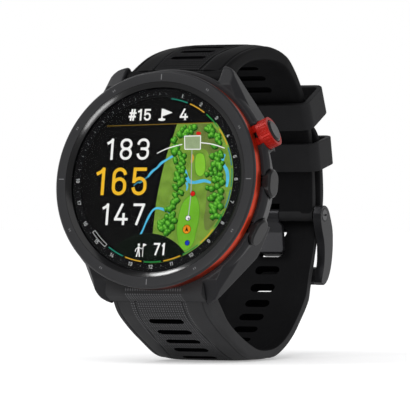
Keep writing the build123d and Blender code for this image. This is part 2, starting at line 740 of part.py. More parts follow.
# ---------------------------------------------------------------- filler in front of the lower lug pin
with BuildPart() as lower_filler:
    with BuildSketch(side):
        with BuildLine():
            Polyline([sd(-19.75, 4.75), sd(-22.9, 4.75), sd(-23.9, 5.6), sd(-24.5, 6.4), sd(-24.3, 6.6), sd(-23.6, 5.97),
                      sd(-22.9, 5.65), sd(-19.75, 5.6)], close=True)
        make_face()
    extrude(amount=LUG_GAP / 2 - 0.05, both=True)
save(lower_filler, "lower_filler")

# ---------------------------------------------------------------- keepers


def keeper_frame(y, z, ty, tz):
    # x across the band, z up along the band, y towards the wrist
    n = sqrt(ty * ty + tz * tz)
    return Plane(origin=(CX, y + CY, z + CZ), x_dir=(-1, 0, 0), z_dir=(0, ty / n, tz / n))


KEEPERS = {
    # name: centre of the outer face, direction up the band, length, depth, wall
    "upper_keeper": ((38.2, 56.8), (-0.427, 0.904), 6.2, 11.1, 1.15),
    "lower_keeper": ((42.5, 45.5), (-0.212, 0.977), 6.2, 10.5, 1.25),
}
for name, ((y, z), (ty, tz), length, depth, wall) in KEEPERS.items():
    fr = keeper_frame(y, z, ty, tz)
    with BuildPart() as keeper:
        with BuildSketch(fr.offset(-length / 2)):
            with Locations((0, depth / 2)):
                RectangleRounded(23.7, depth, 2.2)
        extrude(amount=length)
        with BuildSketch(fr.offset(-length / 2)):
            with Locations((0, depth / 2)):
                RectangleRounded(21.3, depth - 2 * wall, 1.0)
        extrude(amount=length, mode=Mode.SUBTRACT)
    save(keeper, name)

# ---------------------------------------------------------------- buckle
buckle_out = [(34.9, 32.6), (36.6, 32.85), (38.2, 32.0), (39.4, 30.1), (40.4, 27.8), (40.7, 24.7), (40.3, 21.5),
              (39.0, 18.0), (37.5, 16.2), (35.6, 15.3)]
buckle_in = [(34.4, 15.9), (34.8, 17.3), (35.7, 19.5), (36.05, 22.0), (35.8, 24.8), (34.8, 27.3), (34.1, 29.2),
             (34.0, 31.2)]
with BuildPart() as buckle_frame:
    with BuildSketch(side):
        with BuildLine():
            Spline(buckle_out)
            Line(buckle_out[-1], buckle_in[0])
            Spline(buckle_in)
            Line(buckle_in[-1], buckle_out[0])
        make_face()
    extrude(amount=BUCKLE_OUT, both=True)
    with BuildSketch(side):
        Rectangle(200, 200)
    extrude(amount=BUCKLE_IN, both=True, mode=Mode.SUBTRACT)
    # far bar outside the tail
    with BuildSketch(side):
        with BuildLine():
            Polyline([(35.2, 15.35), (37.4, 16.25), (38.9, 18.1), (38.3, 19.3), (37.2, 19.0), (35.4, 17.3),
                      (34.6, 16.1)], close=True)
        make_face()
    extrude(amount=BUCKLE_OUT, both=True)
    with BuildSketch(side):
        with Locations((BAR_Y, BAR_Z)):
            Circle(BAR_R + 0.05)
    extrude(amount=15, both=True, mode=Mode.SUBTRACT)
    for sx in (1, -1):
        with BuildSketch(side.offset(sx * 11.5)):
            with Locations((BAR_Y, BAR_Z)):
                Circle(1.4)
        extrude(amount=sx * 2, mode=Mode.SUBTRACT)
save(buckle_frame, "buckle_frame")

with BuildPart() as buckle_bar:
    with BuildSketch(side):
        with Locations((BAR_Y, BAR_Z)):
            Circle(BAR_R)
    extrude(amount=11.5, both=True)
save(buckle_bar, "buckle_bar")

with BuildPart() as buckle_screws:
    for sx in (1, -1):
        with BuildSketch(side.offset(sx * 11.52)):
            with Locations((BAR_Y, BAR_Z)):
                Circle(1.32)
        extrude(amount=sx * 0.75)
        with BuildSketch(side.offset(sx * 12.0)):
            with Locations((BAR_Y, BAR_Z)):
                Rectangle(2.0, 0.4)
        extrude(amount=sx * 1, mode=Mode.SUBTRACT)
save(buckle_screws, "buckle_screws")

with BuildPart() as tongue_plate:
    # plate that hangs along the inner face of the tail and widens towards its end
    with BuildSketch(side):
        with BuildLine():
            Polyline([(35.0, 30.6), (36.0, 29.9), (35.55, 27.4), (33.75, 23.35), (33.15, 22.15), (32.3, 22.55),
                      (34.15, 26.9), (34.75, 29.2)], close=True)
        make_face()
    extrude(amount=3.8, both=True)
    with BuildSketch(Plane(origin=(CX, CY, CZ), x_dir=(1, 0, 0), z_dir=(0, -1, 0))):
        with BuildLine():
            Polyline([(1.6, 40), (1.6, 29.1), (2.4, 28.5), (3.7, 23.2), (3.3, 22.0), (-3.3, 22.0), (-3.7, 23.2),
                      (-2.4, 28.5), (-1.6, 29.1), (-1.6, 40)], close=True)
        make_face()
    extrude(amount=90, both=True, mode=Mode.INTERSECT)

with BuildPart() as buckle_tongue:
    with BuildSketch(side):
        with Locations((BAR_Y, BAR_Z)):
            Circle(1.35)
    extrude(amount=1.6, both=True)
    add(tongue_plate.part)
    # peg through the slot in the tail
    with BuildSketch(side):
        with BuildLine():
            Polyline([(33.0, 23.3), (34.6, 22.65), (36.05, 22.1), (36.35, 21.8), (36.25, 21.5), (35.4, 21.7), (32.8, 22.75)],
                     close=True)
        make_face()
    extrude(amount=2.2, both=True)
    with BuildSketch(side):
        with Locations((BAR_Y, BAR_Z)):
            Circle(BAR_R + 0.06)
    extrude(amount=15, both=True, mode=Mode.SUBTRACT)
save(buckle_tongue, "buckle_tongue")
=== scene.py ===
"""Looks of the golf GPS watch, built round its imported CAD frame.
Shapes are worked out in millimetres, in the head's own axes (x, u towards 12 o'clock, d into the wrist)
or in the side view's (x, y, z), and put() turns them into metres of the row frame."""
import bpy, math
import numpy as np
from mathutils import Matrix, Vector

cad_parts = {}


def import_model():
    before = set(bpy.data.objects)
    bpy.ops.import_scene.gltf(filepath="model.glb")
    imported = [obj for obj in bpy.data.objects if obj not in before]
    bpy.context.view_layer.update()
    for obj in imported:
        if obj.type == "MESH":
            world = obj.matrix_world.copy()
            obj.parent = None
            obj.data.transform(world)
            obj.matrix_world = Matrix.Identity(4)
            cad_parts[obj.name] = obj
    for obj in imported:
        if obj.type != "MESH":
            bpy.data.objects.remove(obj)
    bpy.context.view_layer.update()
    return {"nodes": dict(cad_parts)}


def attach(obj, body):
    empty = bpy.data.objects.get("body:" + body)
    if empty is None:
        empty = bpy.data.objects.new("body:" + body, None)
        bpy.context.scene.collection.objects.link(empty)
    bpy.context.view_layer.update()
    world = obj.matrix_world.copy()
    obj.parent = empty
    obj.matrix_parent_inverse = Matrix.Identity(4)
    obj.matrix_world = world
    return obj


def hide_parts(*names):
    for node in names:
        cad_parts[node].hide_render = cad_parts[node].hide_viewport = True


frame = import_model()
rng = np.random.default_rng(11)

# ------------------------------------------------------------------ frames
SHIFT = np.array([-0.4395, -7.1895, 0.42])
LEAN = math.radians(9.56)
st, ct = math.sin(LEAN), math.cos(LEAN)
P0 = np.array([0.0, -25.0, 38.45]) + SHIFT
XV, UV, DV = np.array([1.0, 0, 0]), np.array([0, st, ct]), np.array([0, ct, -st])


def head(v):
    v = np.asarray(v, float)
    return P0 + v[:, :1] * XV + v[:, 1:2] * UV + v[:, 2:3] * DV


def world(v):
    return np.asarray(v, float) + SHIFT


def sd(u, d):
    return (-25.0 + u * st + d * ct, 38.45 + u * ct - d * st)


# ------------------------------------------------------------------ materials
def lin(c):
    out = []
    for k in c[:3]:
        k = k / 255.0
        out.append(k / 12.92 if k <= 0.04045 else ((k + 0.055) / 1.055) ** 2.4)
    return out + [1.0]


def shade(c, f):
    return [min(max(k * f, 0.0), 1.0) for k in c[:3]] + [1.0]


def surface(name, rgb, rough=0.5, metal=0.0, vary=0.12, coarse=260.0, fine=5200.0, bump=0.10, grain=0.00004,
            rvary=0.06, spec=0.5, coat=0.0, coat_rough=0.2, emit=None, emit_strength=0.0, stretch=None, alpha=None):
    m = bpy.data.materials.new(name)
    m.use_nodes = True
    nt = m.node_tree
    b = nt.nodes["Principled BSDF"]
    tc = nt.nodes.new("ShaderNodeTexCoord")
    mp = nt.nodes.new("ShaderNodeMapping")
    nt.links.new(tc.outputs["Object"], mp.inputs["Vector"])
    if stretch:
        mp.inputs["Scale"].default_value = stretch
    n1 = nt.nodes.new("ShaderNodeTexNoise")
    n1.inputs["Scale"].default_value = coarse
    n1.inputs["Detail"].default_value = 5.0
    nt.links.new(mp.outputs["Vector"], n1.inputs["Vector"])
    n2 = nt.nodes.new("ShaderNodeTexNoise")
    n2.inputs["Scale"].default_value = fine
    n2.inputs["Detail"].default_value = 2.0
    nt.links.new(mp.outputs["Vector"], n2.inputs["Vector"])
    base = lin(rgb)
    cr = nt.nodes.new("ShaderNodeValToRGB")
    cr.color_ramp.elements[0].position, cr.color_ramp.elements[1].position = 0.3, 0.7
    cr.color_ramp.elements[0].color = shade(base, 1 - vary)
    cr.color_ramp.elements[1].color = shade(base, 1 + vary)
    nt.links.new(n1.outputs["Fac"], cr.inputs["Fac"])
    nt.links.new(cr.outputs["Color"], b.inputs["Base Color"])
    mr = nt.nodes.new("ShaderNodeMapRange")
    mr.inputs["To Min"].default_value = max(rough - rvary, 0.02)
    mr.inputs["To Max"].default_value = min(rough + rvary, 1.0)
    nt.links.new(n2.outputs["Fac"], mr.inputs["Value"])
    nt.links.new(mr.outputs["Result"], b.inputs["Roughness"])
    if bump > 0:
        bp = nt.nodes.new("ShaderNodeBump")
        bp.inputs["Strength"].default_value = bump
        bp.inputs["Distance"].default_value = grain
        nt.links.new(n2.outputs["Fac"], bp.inputs["Height"])
        nt.links.new(bp.outputs["Normal"], b.inputs["Normal"])
    b.inputs["Metallic"].default_value = metal
    b.inputs["Specular IOR Level"].default_value = spec
    if coat > 0:
        b.inputs["Coat Weight"].default_value = coat
        b.inputs["Coat Roughness"].default_value = coat_rough
    if emit is not None:
        e = lin(emit)
        ce = nt.nodes.new("ShaderNodeValToRGB")
        ce.color_ramp.elements[0].position, ce.color_ramp.elements[1].position = 0.3, 0.7
        ce.color_ramp.elements[0].color = shade(e, 1 - vary)
        ce.color_ramp.elements[1].color = shade(e, 1 + vary)
        nt.links.new(n1.outputs["Fac"], ce.inputs["Fac"])
        nt.links.new(ce.outputs["Color"], b.inputs["Emission Color"])
        b.inputs["Emission Strength"].default_value = emit_strength
    if alpha is not None:
        b.inputs["Alpha"].default_value = alpha
    return m


def glow(name, rgb, vary=0.04, coarse=900.0, strength=1.0):
    # a lit area of the display: black glass that gives off its own colour
    return surface(name, (6, 6, 6), rough=0.5, spec=0.0, vary=vary, coarse=coarse, bump=0.0, emit=rgb,
                   emit_strength=strength)


M = {
    "case": surface("case_polymer", (28, 28, 30), rough=0.44, spec=0.11, bump=0.12, grain=0.00003, coarse=180, fine=4200,
                    vary=0.08),
    "bezel": surface("bezel_metal", (26, 26, 28), rough=0.40, spec=0.24, bump=0.08, coarse=120, fine=2600, vary=0.10),
    "slope": surface("bezel_slope", (9, 9, 10), rough=0.16, spec=0.16, bump=0.0, coarse=160, vary=0.10, rvary=0.04),
    "mark": surface("bezel_mark", (104, 104, 106), rough=0.5, spec=0.2, vary=0.06),
    "accent": surface("accent_anodised", (186, 52, 20), rough=0.30, metal=0.9, vary=0.14, coarse=90, bump=0.05),
    "collar": surface("collar_anodised", (140, 14, 3), rough=0.42, metal=0.15, spec=0.10, vary=0.12, bump=0.08),
    "key": surface("key_metal", (20, 20, 21), rough=0.30, spec=0.16, vary=0.12, bump=0.25, grain=0.00005, fine=3000),
    "glass": surface("cover_glass", (10, 12, 14), rough=0.04, spec=0.5, vary=0.05, bump=0.0, rvary=0.01, alpha=0.03),
    "black": surface("display_black", (3, 3, 3), rough=0.4, spec=0.035, vary=0.10, bump=0.0),
    "ring": surface("display_border", (5, 5, 6), rough=0.4, spec=0.05, vary=0.10, bump=0.0),
    "band": surface("band_silicone", (50, 50, 51), rough=0.58, spec=0.03, vary=0.10, coarse=150, fine=5200, bump=0.12,
                    grain=0.00003),
    # painted shade: near-black colour for the walls inside the band's slots
    "band_slot_shade": surface("band_slot_shade", (6, 6, 7), rough=0.70, spec=0.0, vary=0.12, coarse=150, bump=0.05),
    # painted shade: the band's inner faces, inside the loop, are darker than its outer face
    "band_inner_shade": surface("band_inner_shade", (22, 22, 23), rough=0.65, spec=0.01, vary=0.12, coarse=150, fine=5200, bump=0.12,
                          grain=0.00003),
    "keeper": surface("keeper_silicone", (34, 34, 35), rough=0.50, spec=0.04, vary=0.08, coarse=200, bump=0.10),
    "insert": surface("insert_polymer", (14, 14, 15), rough=0.4, spec=0.2, vary=0.08),
    "buckle": surface("buckle_metal", (36, 36, 38), rough=0.38, metal=0.45, spec=0.15, vary=0.06, bump=0.06, coarse=240),
    "steel": surface("dark_steel", (58, 58, 60), rough=0.30, metal=0.8, vary=0.06, bump=0.05, stretch=(8, 1, 1)),
    "rear": surface("rear_polymer", (24, 24, 26), rough=0.46, spec=0.25, vary=0.08, bump=0.12),
    "window": surface("sensor_window", (4, 4, 5), rough=0.08, spec=0.25, vary=0.15, bump=0.0, rvary=0.02),
    "gold": surface("gold_plate", (222, 172, 84), rough=0.25, metal=1.0, vary=0.06, bump=0.03),
    "seal": surface("seal_rubber", (14, 14, 14), rough=0.7, spec=0.2, vary=0.1),
    "board": surface("circuit_board", (16, 74, 40), rough=0.45, vary=0.2, coarse=900, bump=0.2),
    "shield": surface("tinned_shield", (190, 192, 196), rough=0.35, metal=0.9, vary=0.06),
    "cell": surface("cell_foil", (150, 154, 160), rough=0.4, metal=0.4, vary=0.08),
    "flex": surface("flex_ribbon", (168, 98, 28), rough=0.4, vary=0.12),
    "led": surface("sensor_led", (120, 220, 120), rough=0.3, vary=0.08, emit=(60, 200, 90), emit_strength=0.3),
    "chassis": surface("chassis_polymer", (30, 30, 33), rough=0.5, vary=0.1),
}



def knurl(m, pitch, half, light):
    """Fine diagonal dots moulded into the middle panel of the band, near the case only. Their lighter colour is a
    painted sheen, and it fades towards the top of the band as painted shade.
    """
    nt = m.node_tree
    b = nt.nodes["Principled BSDF"]
    tc = nt.nodes.new("ShaderNodeTexCoord")
    sp = nt.nodes.new("ShaderNodeSeparateXYZ")
    nt.links.new(tc.outputs["Object"], sp.inputs["Vector"])

    def op(kind, a, b_=None, c_=None):
        nd = nt.nodes.new("ShaderNodeMath")
        nd.operation = kind
        for k, v_ in enumerate((a, b_, c_)):
            if v_ is None:
                continue
            if isinstance(v_, (int, float)):
                nd.inputs[k].default_value = v_
            else:
                nt.links.new(v_, nd.inputs[k])
        return nd.outputs[0]

    x, y, z = sp.outputs["X"], sp.outputs["Y"], sp.outputs["Z"]
    run = op("SUBTRACT", op("MULTIPLY", y, 0.80), op("MULTIPLY", z, 0.55))
    k = 2 * math.pi / (pitch / 1000)
    p_ = op("SINE", op("MULTIPLY", op("ADD", x, run), k))
    q_ = op("SINE", op("MULTIPLY", op("SUBTRACT", x, run), k))
    dot = nt.nodes.new("ShaderNodeMapRange")
    dot.inputs["From Min"].default_value = 0.15
    dot.inputs["From Max"].default_value = 0.85
    nt.links.new(op("MULTIPLY", p_, q_), dot.inputs["Value"])
    side = nt.nodes.new("ShaderNodeMapRange")
    side.inputs["From Min"].default_value = (half + 0.15) / 1000
    side.inputs["From Max"].default_value = (half - 0.15) / 1000
    nt.links.new(op("ABSOLUTE", op("SUBTRACT", x, float(SHIFT[0]) / 1000)), side.inputs["Value"])
    fade = nt.nodes.new("ShaderNodeMapRange")
    fade.inputs["From Min"].default_value = -0.0135
    fade.inputs["From Max"].default_value = -0.0175
    nt.links.new(op("SUBTRACT", y, op("MULTIPLY", z, 0.12)), fade.inputs["Value"])
    # painted shade: the dots' lighter colour fades towards the top of the band
    painted_top_shade = nt.nodes.new("ShaderNodeMapRange")
    painted_top_shade.inputs["From Min"].default_value = 0.058
    painted_top_shade.inputs["From Max"].default_value = 0.014
    painted_top_shade.inputs["To Min"].default_value = 0.22
    nt.links.new(z, painted_top_shade.inputs["Value"])
    f = op("MULTIPLY", op("MULTIPLY", dot.outputs["Result"], side.outputs["Result"]), fade.outputs["Result"])
    f = op("MULTIPLY", f, painted_top_shade.outputs["Result"])
    # painted sheen: mixes the lighter dot colour into the silicone
    mx = nt.nodes.new("ShaderNodeMix")
    mx.data_type = "RGBA"
    old = b.inputs["Base Color"].links[0].from_socket
    nt.links.new(f, mx.inputs[0])
    nt.links.new(old, mx.inputs[6])
    mx.inputs[7].default_value = lin(light)
    nt.links.new(mx.outputs[2], b.inputs["Base Color"])
    bp = nt.nodes.new("ShaderNodeBump")
    bp.inputs["Strength"].default_value = 0.8
    bp.inputs["Distance"].default_value = 0.00012
    nt.links.new(f, bp.inputs["Height"])
    nt.links.new(b.inputs["Normal"].links[0].from_socket, bp.inputs["Normal"])
    nt.links.new(bp.outputs["Normal"], b.inputs["Normal"])


def fade_across(m, x0, x1, dark, axis="X"):
    """Painted shade: the base colour turns darker from x1 towards x0."""
    nt = m.node_tree
    b = nt.nodes["Principled BSDF"]
    tc = nt.nodes.new("ShaderNodeTexCoord")
    sp = nt.nodes.new("ShaderNodeSeparateXYZ")
    nt.links.new(tc.outputs["Object"], sp.inputs["Vector"])
    mr = nt.nodes.new("ShaderNodeMapRange")
    mr.inputs["From Min"].default_value = x0 / 1000
    mr.inputs["From Max"].default_value = x1 / 1000
    nt.links.new(sp.outputs[axis], mr.inputs["Value"])
    mx = nt.nodes.new("ShaderNodeMix")
    mx.data_type = "RGBA"
    old = b.inputs["Base Color"].links[0].from_socket
    nt.links.new(mr.outputs["Result"], mx.inputs[0])
    mx.inputs[6].default_value = lin(dark)
    nt.links.new(old, mx.inputs[7])
    nt.links.new(mx.outputs[2], b.inputs["Base Color"])


# painted shade: the accent ring's colour darkens towards its left side, at low x
fade_across(M["accent"], 1.0, 13.0, (60, 22, 12))
# painted shade: the band's colour darkens towards its top, at high z
fade_across(M["band"], 58.0, 8.0, (15, 15, 16), "Z")
knurl(M["band"], 1.1, 6.6, (96, 96, 98))


# ------------------------------------------------------------------ mesh tools
def put(name, v, faces, mat, body, replaces=(), sharp=35.0, smooth=True):
    """v in millimetres of the row frame, faces as lists or as an (n, 4) array."""
    me = bpy.data.meshes.new(name)
    v = np.asarray(v, float) / 1000.0
    if isinstance(faces, np.ndarray):
        n = len(faces)
        me.vertices.add(len(v))
        me.vertices.foreach_set("co", v.ravel())
        me.loops.add(n * 4)
        me.loops.foreach_set("vertex_index", faces.astype(np.int32).ravel())
        me.polygons.add(n)
        me.polygons.foreach_set("loop_start", np.arange(0, 4 * n, 4, dtype=np.int32))
        me.update(calc_edges=True)
        me.validate()
    else:
        me.from_pydata([tuple(p) for p in v], [], faces)
        me.update()
    if smooth:
        me.polygons.foreach_set("use_smooth", [True] * len(me.polygons))
        me.set_sharp_from_angle(angle=math.radians(sharp))
    ob = bpy.data.objects.new(name, me)
    bpy.context.scene.collection.objects.link(ob)
    me.materials.append(mat)
    if body:
        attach(ob, body)
    if replaces:
        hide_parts(*replaces)
    return ob


def bake(ob):
    """Replaces the object's mesh with what its modifiers make of it."""
    dg = bpy.context.evaluated_depsgraph_get()
    me = bpy.data.meshes.new_from_object(ob.evaluated_get(dg))
    old = ob.data
    mats = [m for m in old.materials]
    index = np.zeros(len(me.polygons), np.int32)
    me.polygons.foreach_get("material_index", index)
    ob.modifiers.clear()
    ob.data = me
    me.materials.clear()
    for m in mats:
        me.materials.append(m)
    me.polygons.foreach_set("material_index", np.minimum(index, len(mats) - 1).astype(np.int32))
    return ob


def cut(ob, cutters, op="DIFFERENCE", dark=False):
    """Boolean with a list of (verts, faces) in mm; the cutters don't overlap one another."""
    vs, fs, k = [], [], 0
    for v, f in cutters:
        vs.append(np.asarray(v, float))
        fs += [[i + k for i in q] for q in f]
        k += len(v)
    tmp = put("tmp_cut", np.vstack(vs), fs, ob.data.materials[0], None, smooth=False)
    for m in list(ob.data.materials)[1:]:
        tmp.data.materials.append(m)
    if dark:                                     # walls of the slots take the material that comes last, near black as painted shade inside the slots
        tmp.data.polygons.foreach_set("material_index", [len(tmp.data.materials) - 1] * len(tmp.data.polygons))
    mo = ob.modifiers.new("b", "BOOLEAN")
    mo.operation = op
    mo.object = tmp
    try:
        mo.solver = "MANIFOLD"
    except TypeError:
        mo.solver = "EXACT"
    n0 = len(ob.data.polygons)
    bake(ob)
    me = tmp.data
    bpy.data.objects.remove(tmp)
    bpy.data.meshes.remove(me)
    print("cut", ob.name, op, n0, "->", len(ob.data.polygons))
    return ob


def prism(loop, z0, z1, to):
    """A closed prism over a 2D loop. to(xy, z) gives points in mm."""
    loop = np.asarray(loop, float)
    n = len(loop)
    v = np.vstack([to(loop, z0), to(loop, z1)])
    f = [list(range(n))[::-1], list(range(n, 2 * n))]
    for i in range(n):
        j = (i + 1) % n
        f.append([i, j, n + j, n + i])
    return v, f


def stadium(long, wide, k=10):
    r = wide / 2
    h = long / 2 - r
    a = np.linspace(-math.pi / 2, math.pi / 2, k)
    right = np.stack([h + r * np.cos(a), r * np.sin(a)], 1)
    left = np.stack([-h - r * np.cos(a), -r * np.sin(a)], 1)
    return np.vstack([right, left])


def disc(cx, cy, r, n=28):
    a = np.linspace(0, 2 * math.pi, n, endpoint=False)
    return np.stack([cx + r * np.cos(a), cy + r * np.sin(a)], 1)


def rounded(points, radii, k=5):
    """Closed or open polyline with its corners rounded. radii: one number or one for each point."""
    p = np.asarray(points, float)
    n = len(p)
    if np.isscalar(radii):
        radii = [radii] * n
    out = []
    for i in range(n):
        a, b, c = p[i - 1], p[i], p[(i + 1) % n]
        r = radii[i]
        if r <= 0:
            out.append(b)
            continue
        u, w = a - b, c - b
        lu, lw = np.linalg.norm(u), np.linalg.norm(w)
        u, w = u / lu, w / lw
        ang = math.acos(max(-1, min(1, float(u @ w))))
        t = min(r / math.tan(ang / 2), 0.45 * lu, 0.45 * lw)
        for q in np.linspace(0, 1, k):
            out.append((1 - q) ** 2 * (b + u * t) + 2 * q * (1 - q) * b + q * q * (b + w * t))
    return np.array(out)


def lathe(profile, n=256):
    """Closed ring from a closed profile of (r, d), about the head's axis."""
    pr = np.asarray(profile, float)
    m = len(pr)
    a = np.linspace(0, 2 * math.pi, n, endpoint=False)
    v = np.zeros((n, m, 3))
    v[:, :, 0] = pr[None, :, 0] * np.sin(a)[:, None]
    v[:, :, 1] = pr[None, :, 0] * np.cos(a)[:, None]
    v[:, :, 2] = pr[None, :, 1]
    i, j = np.meshgrid(np.arange(n), np.arange(m), indexing="ij")
    i2, j2 = (i + 1) % n, (j + 1) % m
    f = np.stack([i * m + j, i * m + j2, i2 * m + j2, i2 * m + j], -1).reshape(-1, 4)
    return head(v.reshape(-1, 3)), f


def turned(profile, n=192):
    """Closed solid of revolution from an open profile of (r, d) that starts and ends on the axis."""
    pr = np.asarray(profile, float)
    mid = pr[1:-1]
    m = len(mid)
    a = np.linspace(0, 2 * math.pi, n, endpoint=False)
    v = np.zeros((n, m, 3))
    v[:, :, 0] = mid[None, :, 0] * np.sin(a)[:, None]
    v[:, :, 1] = mid[None, :, 0] * np.cos(a)[:, None]
    v[:, :, 2] = mid[None, :, 1]
    v = v.reshape(-1, 3)
    v = np.vstack([v, [[0, 0, pr[0, 1]], [0, 0, pr[-1, 1]]]])
    f = []
    for i in range(n):
        i2 = (i + 1) % n
        for j in range(m - 1):
            f.append([i * m + j, i * m + j + 1, i2 * m + j + 1, i2 * m + j])
        f.append([n * m, i * m, i2 * m])
        f.append([n * m + 1, i2 * m + m - 1, i * m + m - 1])
    return head(v), f


def curve(points, n):
    """Natural cubic spline through points, chord-length parameter, n samples evenly along it."""
    p = np.asarray(points, float)
    t = np.concatenate([[0], np.cumsum(np.linalg.norm(np.diff(p, axis=0), axis=1) ** 0.7)])
    m = len(p)
    h = np.diff(t)
    A = np.zeros((m, m))
    R = np.zeros((m, 2))
    A[0, 0] = A[-1, -1] = 1
    for i in range(1, m - 1):
        A[i, i - 1], A[i, i], A[i, i + 1] = h[i - 1], 2 * (h[i - 1] + h[i]), h[i]
        R[i] = 6 * ((p[i + 1] - p[i]) / h[i] - (p[i] - p[i - 1]) / h[i - 1])
    s = np.linalg.solve(A, R)
    q = np.linspace(0, t[-1], 6000)
    k = np.clip(np.searchsorted(t, q, side="right") - 1, 0, m - 2)
    a, b, hk = (t[k + 1] - q)[:, None], (q - t[k])[:, None], h[k][:, None]
    c = (s[k] * a ** 3 + s[k + 1] * b ** 3) / (6 * hk) + (p[k] / hk - s[k] * hk / 6) * a + (p[k + 1] / hk - s[k + 1] * hk / 6) * b
    L = np.concatenate([[0], np.cumsum(np.linalg.norm(np.diff(c, axis=0), axis=1))])
    e = np.linspace(0, L[-1], n) if np.isscalar(n) else np.asarray(n) * L[-1]
    return np.stack([np.interp(e, L, c[:, 0]), np.interp(e, L, c[:, 1])], 1), L[-1]


def chaikin(p, closed=True, times=3):
    p = np.asarray(p, float)
    for _ in range(times):
        q = np.roll(p, -1, axis=0) if closed else p[1:]
        a = p if closed else p[:-1]
        new = np.stack([0.75 * a + 0.25 * q, 0.25 * a + 0.75 * q], 1).reshape(-1, 2)
        p = new if closed else np.vstack([p[:1], new, p[-1:]])
    return p


# ------------------------------------------------------------------ band halves
def width_at(p, tail_half):
    if tail_half:
        w = np.interp(p[:, 0], [-13, 31, 34.2, 38], [11.0, 11.0, 10.25, 9.95])
        return np.where(p[:, 1] > 32, 10.1, w)
    return np.interp(p[:, 0], [-13, 20, 36], [11.0, 10.85, 9.7])


def band(name, outer, inner, body, replaces, panel, knurl_len, fine, coarse_step, tip=False):
    """Sweeps the band's cross-section between an outer and an inner line of the side view.
    panel: (distance along the band, half width) of the middle panel. knurl_len: how far its knurling reaches."""
    dense_o, Lo = curve(outer, 5000)
    dense_i, Li = curve(inner, 5000)
    s, at = [0.0], 0.0
    while at < Lo:
        at += fine if at < knurl_len + 2 else coarse_step
        s.append(min(at, Lo))
    s = np.array(s)
    O = np.stack([np.interp(s, np.linspace(0, Lo, 5000), dense_o[:, k]) for k in (0, 1)], 1)
    T = np.gradient(O, s, axis=0)
    T /= np.linalg.norm(T, axis=1)[:, None]
    # matching stations on the inner line: square to the outer one in the middle, in proportion near the ends
    frac = np.zeros(len(s))
    grid = np.linspace(0, 1, 5000)
    for i in range(len(s)):
        g0 = s[i] / Lo
        lo_, hi_ = max(g0 - 0.12, 0), min(g0 + 0.12, 1)
        sel = slice(int(lo_ * 4999), int(hi_ * 4999) + 1)
        dd = np.abs((dense_i[sel] - O[i]) @ T[i])
        frac[i] = grid[sel][int(np.argmin(dd))]
    e0 = np.clip(s / 5.0, 0, 1)
    e1 = np.clip((Lo - s) / 4.0, 0, 1)
    w = (e0 * e0 * (3 - 2 * e0)) * (e1 * e1 * (3 - 2 * e1))
    frac = frac * w + (s / Lo) * (1 - w)
    frac = np.maximum.accumulate(frac)
    kernel = np.ones(9) / 9
    frac = np.convolve(np.pad(frac, 4, mode="edge"), kernel, mode="valid")
    I = np.stack([np.interp(frac, grid, dense_i[:, k]) for k in (0, 1)], 1)
    N = O - I
    Th = np.linalg.norm(N, axis=1)
    N /= Th[:, None]
    W = width_at(O, tip)
    if tip:
        left = Lo - s
        q = np.clip(left / 8.5, 0, 1)
        W = W * np.sqrt(np.clip(1 - (1 - q) ** 2 * 0.93, 0, 1))
    P = np.interp(s, panel[0], panel[1])
    P = np.minimum(P, W - 2.6)
    # cross-section columns, right half, as (kind, parameter)
    npan = 46
    xo, ho = [], []
    for c in range(npan):                       # panel from the middle outwards
        x = P * c / (npan - 1)
        env = np.clip((knurl_len - s) / 3.0, 0, 1) * np.clip((P - x) / 0.5, 0, 1) * np.clip(s / 1.5, 0, 1)
        pitch = 0.74
        k1 = np.sin(2 * math.pi * (x + s * 0.9) / pitch) * np.sin(2 * math.pi * (x - s * 0.9) / pitch)
        xo.append(x)
        ho.append(0.085 * env * k1 - 0.05 * (x / 7.0) ** 2)
    rim = [(0.06, -0.09), (0.12, -0.20), (0.24, -0.24), (0.36, -0.20), (0.42, -0.08), (0.55, -0.03)]
    for dx, dh in rim:                          # groove beside the panel
        xo.append(P + dx)
        ho.append(np.full(len(s), dh - 0.05))
    edge = 1.25
    for f in (0.15, 0.3, 0.45, 0.6, 0.75, 0.9, 0.98):   # rail, falling away to the edge
        x = P + 0.55 + (W - edge - P - 0.55) * f
        xo.append(x)
        ho.append(-0.08 - 0.34 * f ** 1.8)
    for dx, dh in ((0.03, -0.48), (0.10, -0.60), (0.20, -0.62), (0.28, -0.54), (0.34, -0.46)):   # line beside the edge
        xo.append(W - edge + dx)
        ho.append(np.full(len(s), dh))
    r = 0.62
    for a in np.radians([8, 28, 46, 64, 82]):   # outer corner
        xo.append(W - r + r * np.sin(a))
        ho.append(-0.46 - r * (1 - np.cos(a)))
    cols_x = [np.asarray(x) * np.ones(len(s)) for x in xo]
    cols_h = [Th + np.asarray(h) for h in ho]
    for f in (0.25, 0.5, 0.75):                 # side face
        cols_x.append(W + 0.0 * s)
        cols_h.append((Th - 0.46 - r) * (1 - f) + 0.55 * f)
    for a in np.radians([8, 30, 52, 74]):       # inner corner
        rr = 0.55
        cols_x.append(W - rr + rr * np.cos(a))
        cols_h.append(rr - rr * np.sin(a))
    for x, h in ((1.9, 0.0), (2.6, 0.03), (2.9, 0.14), (3.3, 0.16)):   # inner face with a shallow recess
        cols_x.append(np.maximum(W - x, 0.4))
        cols_h.append(np.full(len(s), h))
    for f in (0.8, 0.6, 0.4, 0.2):
        cols_x.append(np.maximum(W - 3.3, 0.3) * f)
        cols_h.append(np.full(len(s), 0.16))
    CX = np.stack([c * np.ones(len(s)) for c in cols_x], 1)
    CH = np.stack([c * np.ones(len(s)) for c in cols_h], 1)
    mirrored = list(range(CX.shape[1] - 1, 0, -1))
    # whole ring: middle of the outer face, down the right side, middle of the inner face, up the left side
    mid_x, mid_h = np.zeros((len(s), 1)), np.full((len(s), 1), 0.16)
    RX = np.hstack([CX, mid_x, -CX[:, mirrored]])
    RH = np.hstack([CH, mid_h, CH[:, mirrored]])
    if tip:
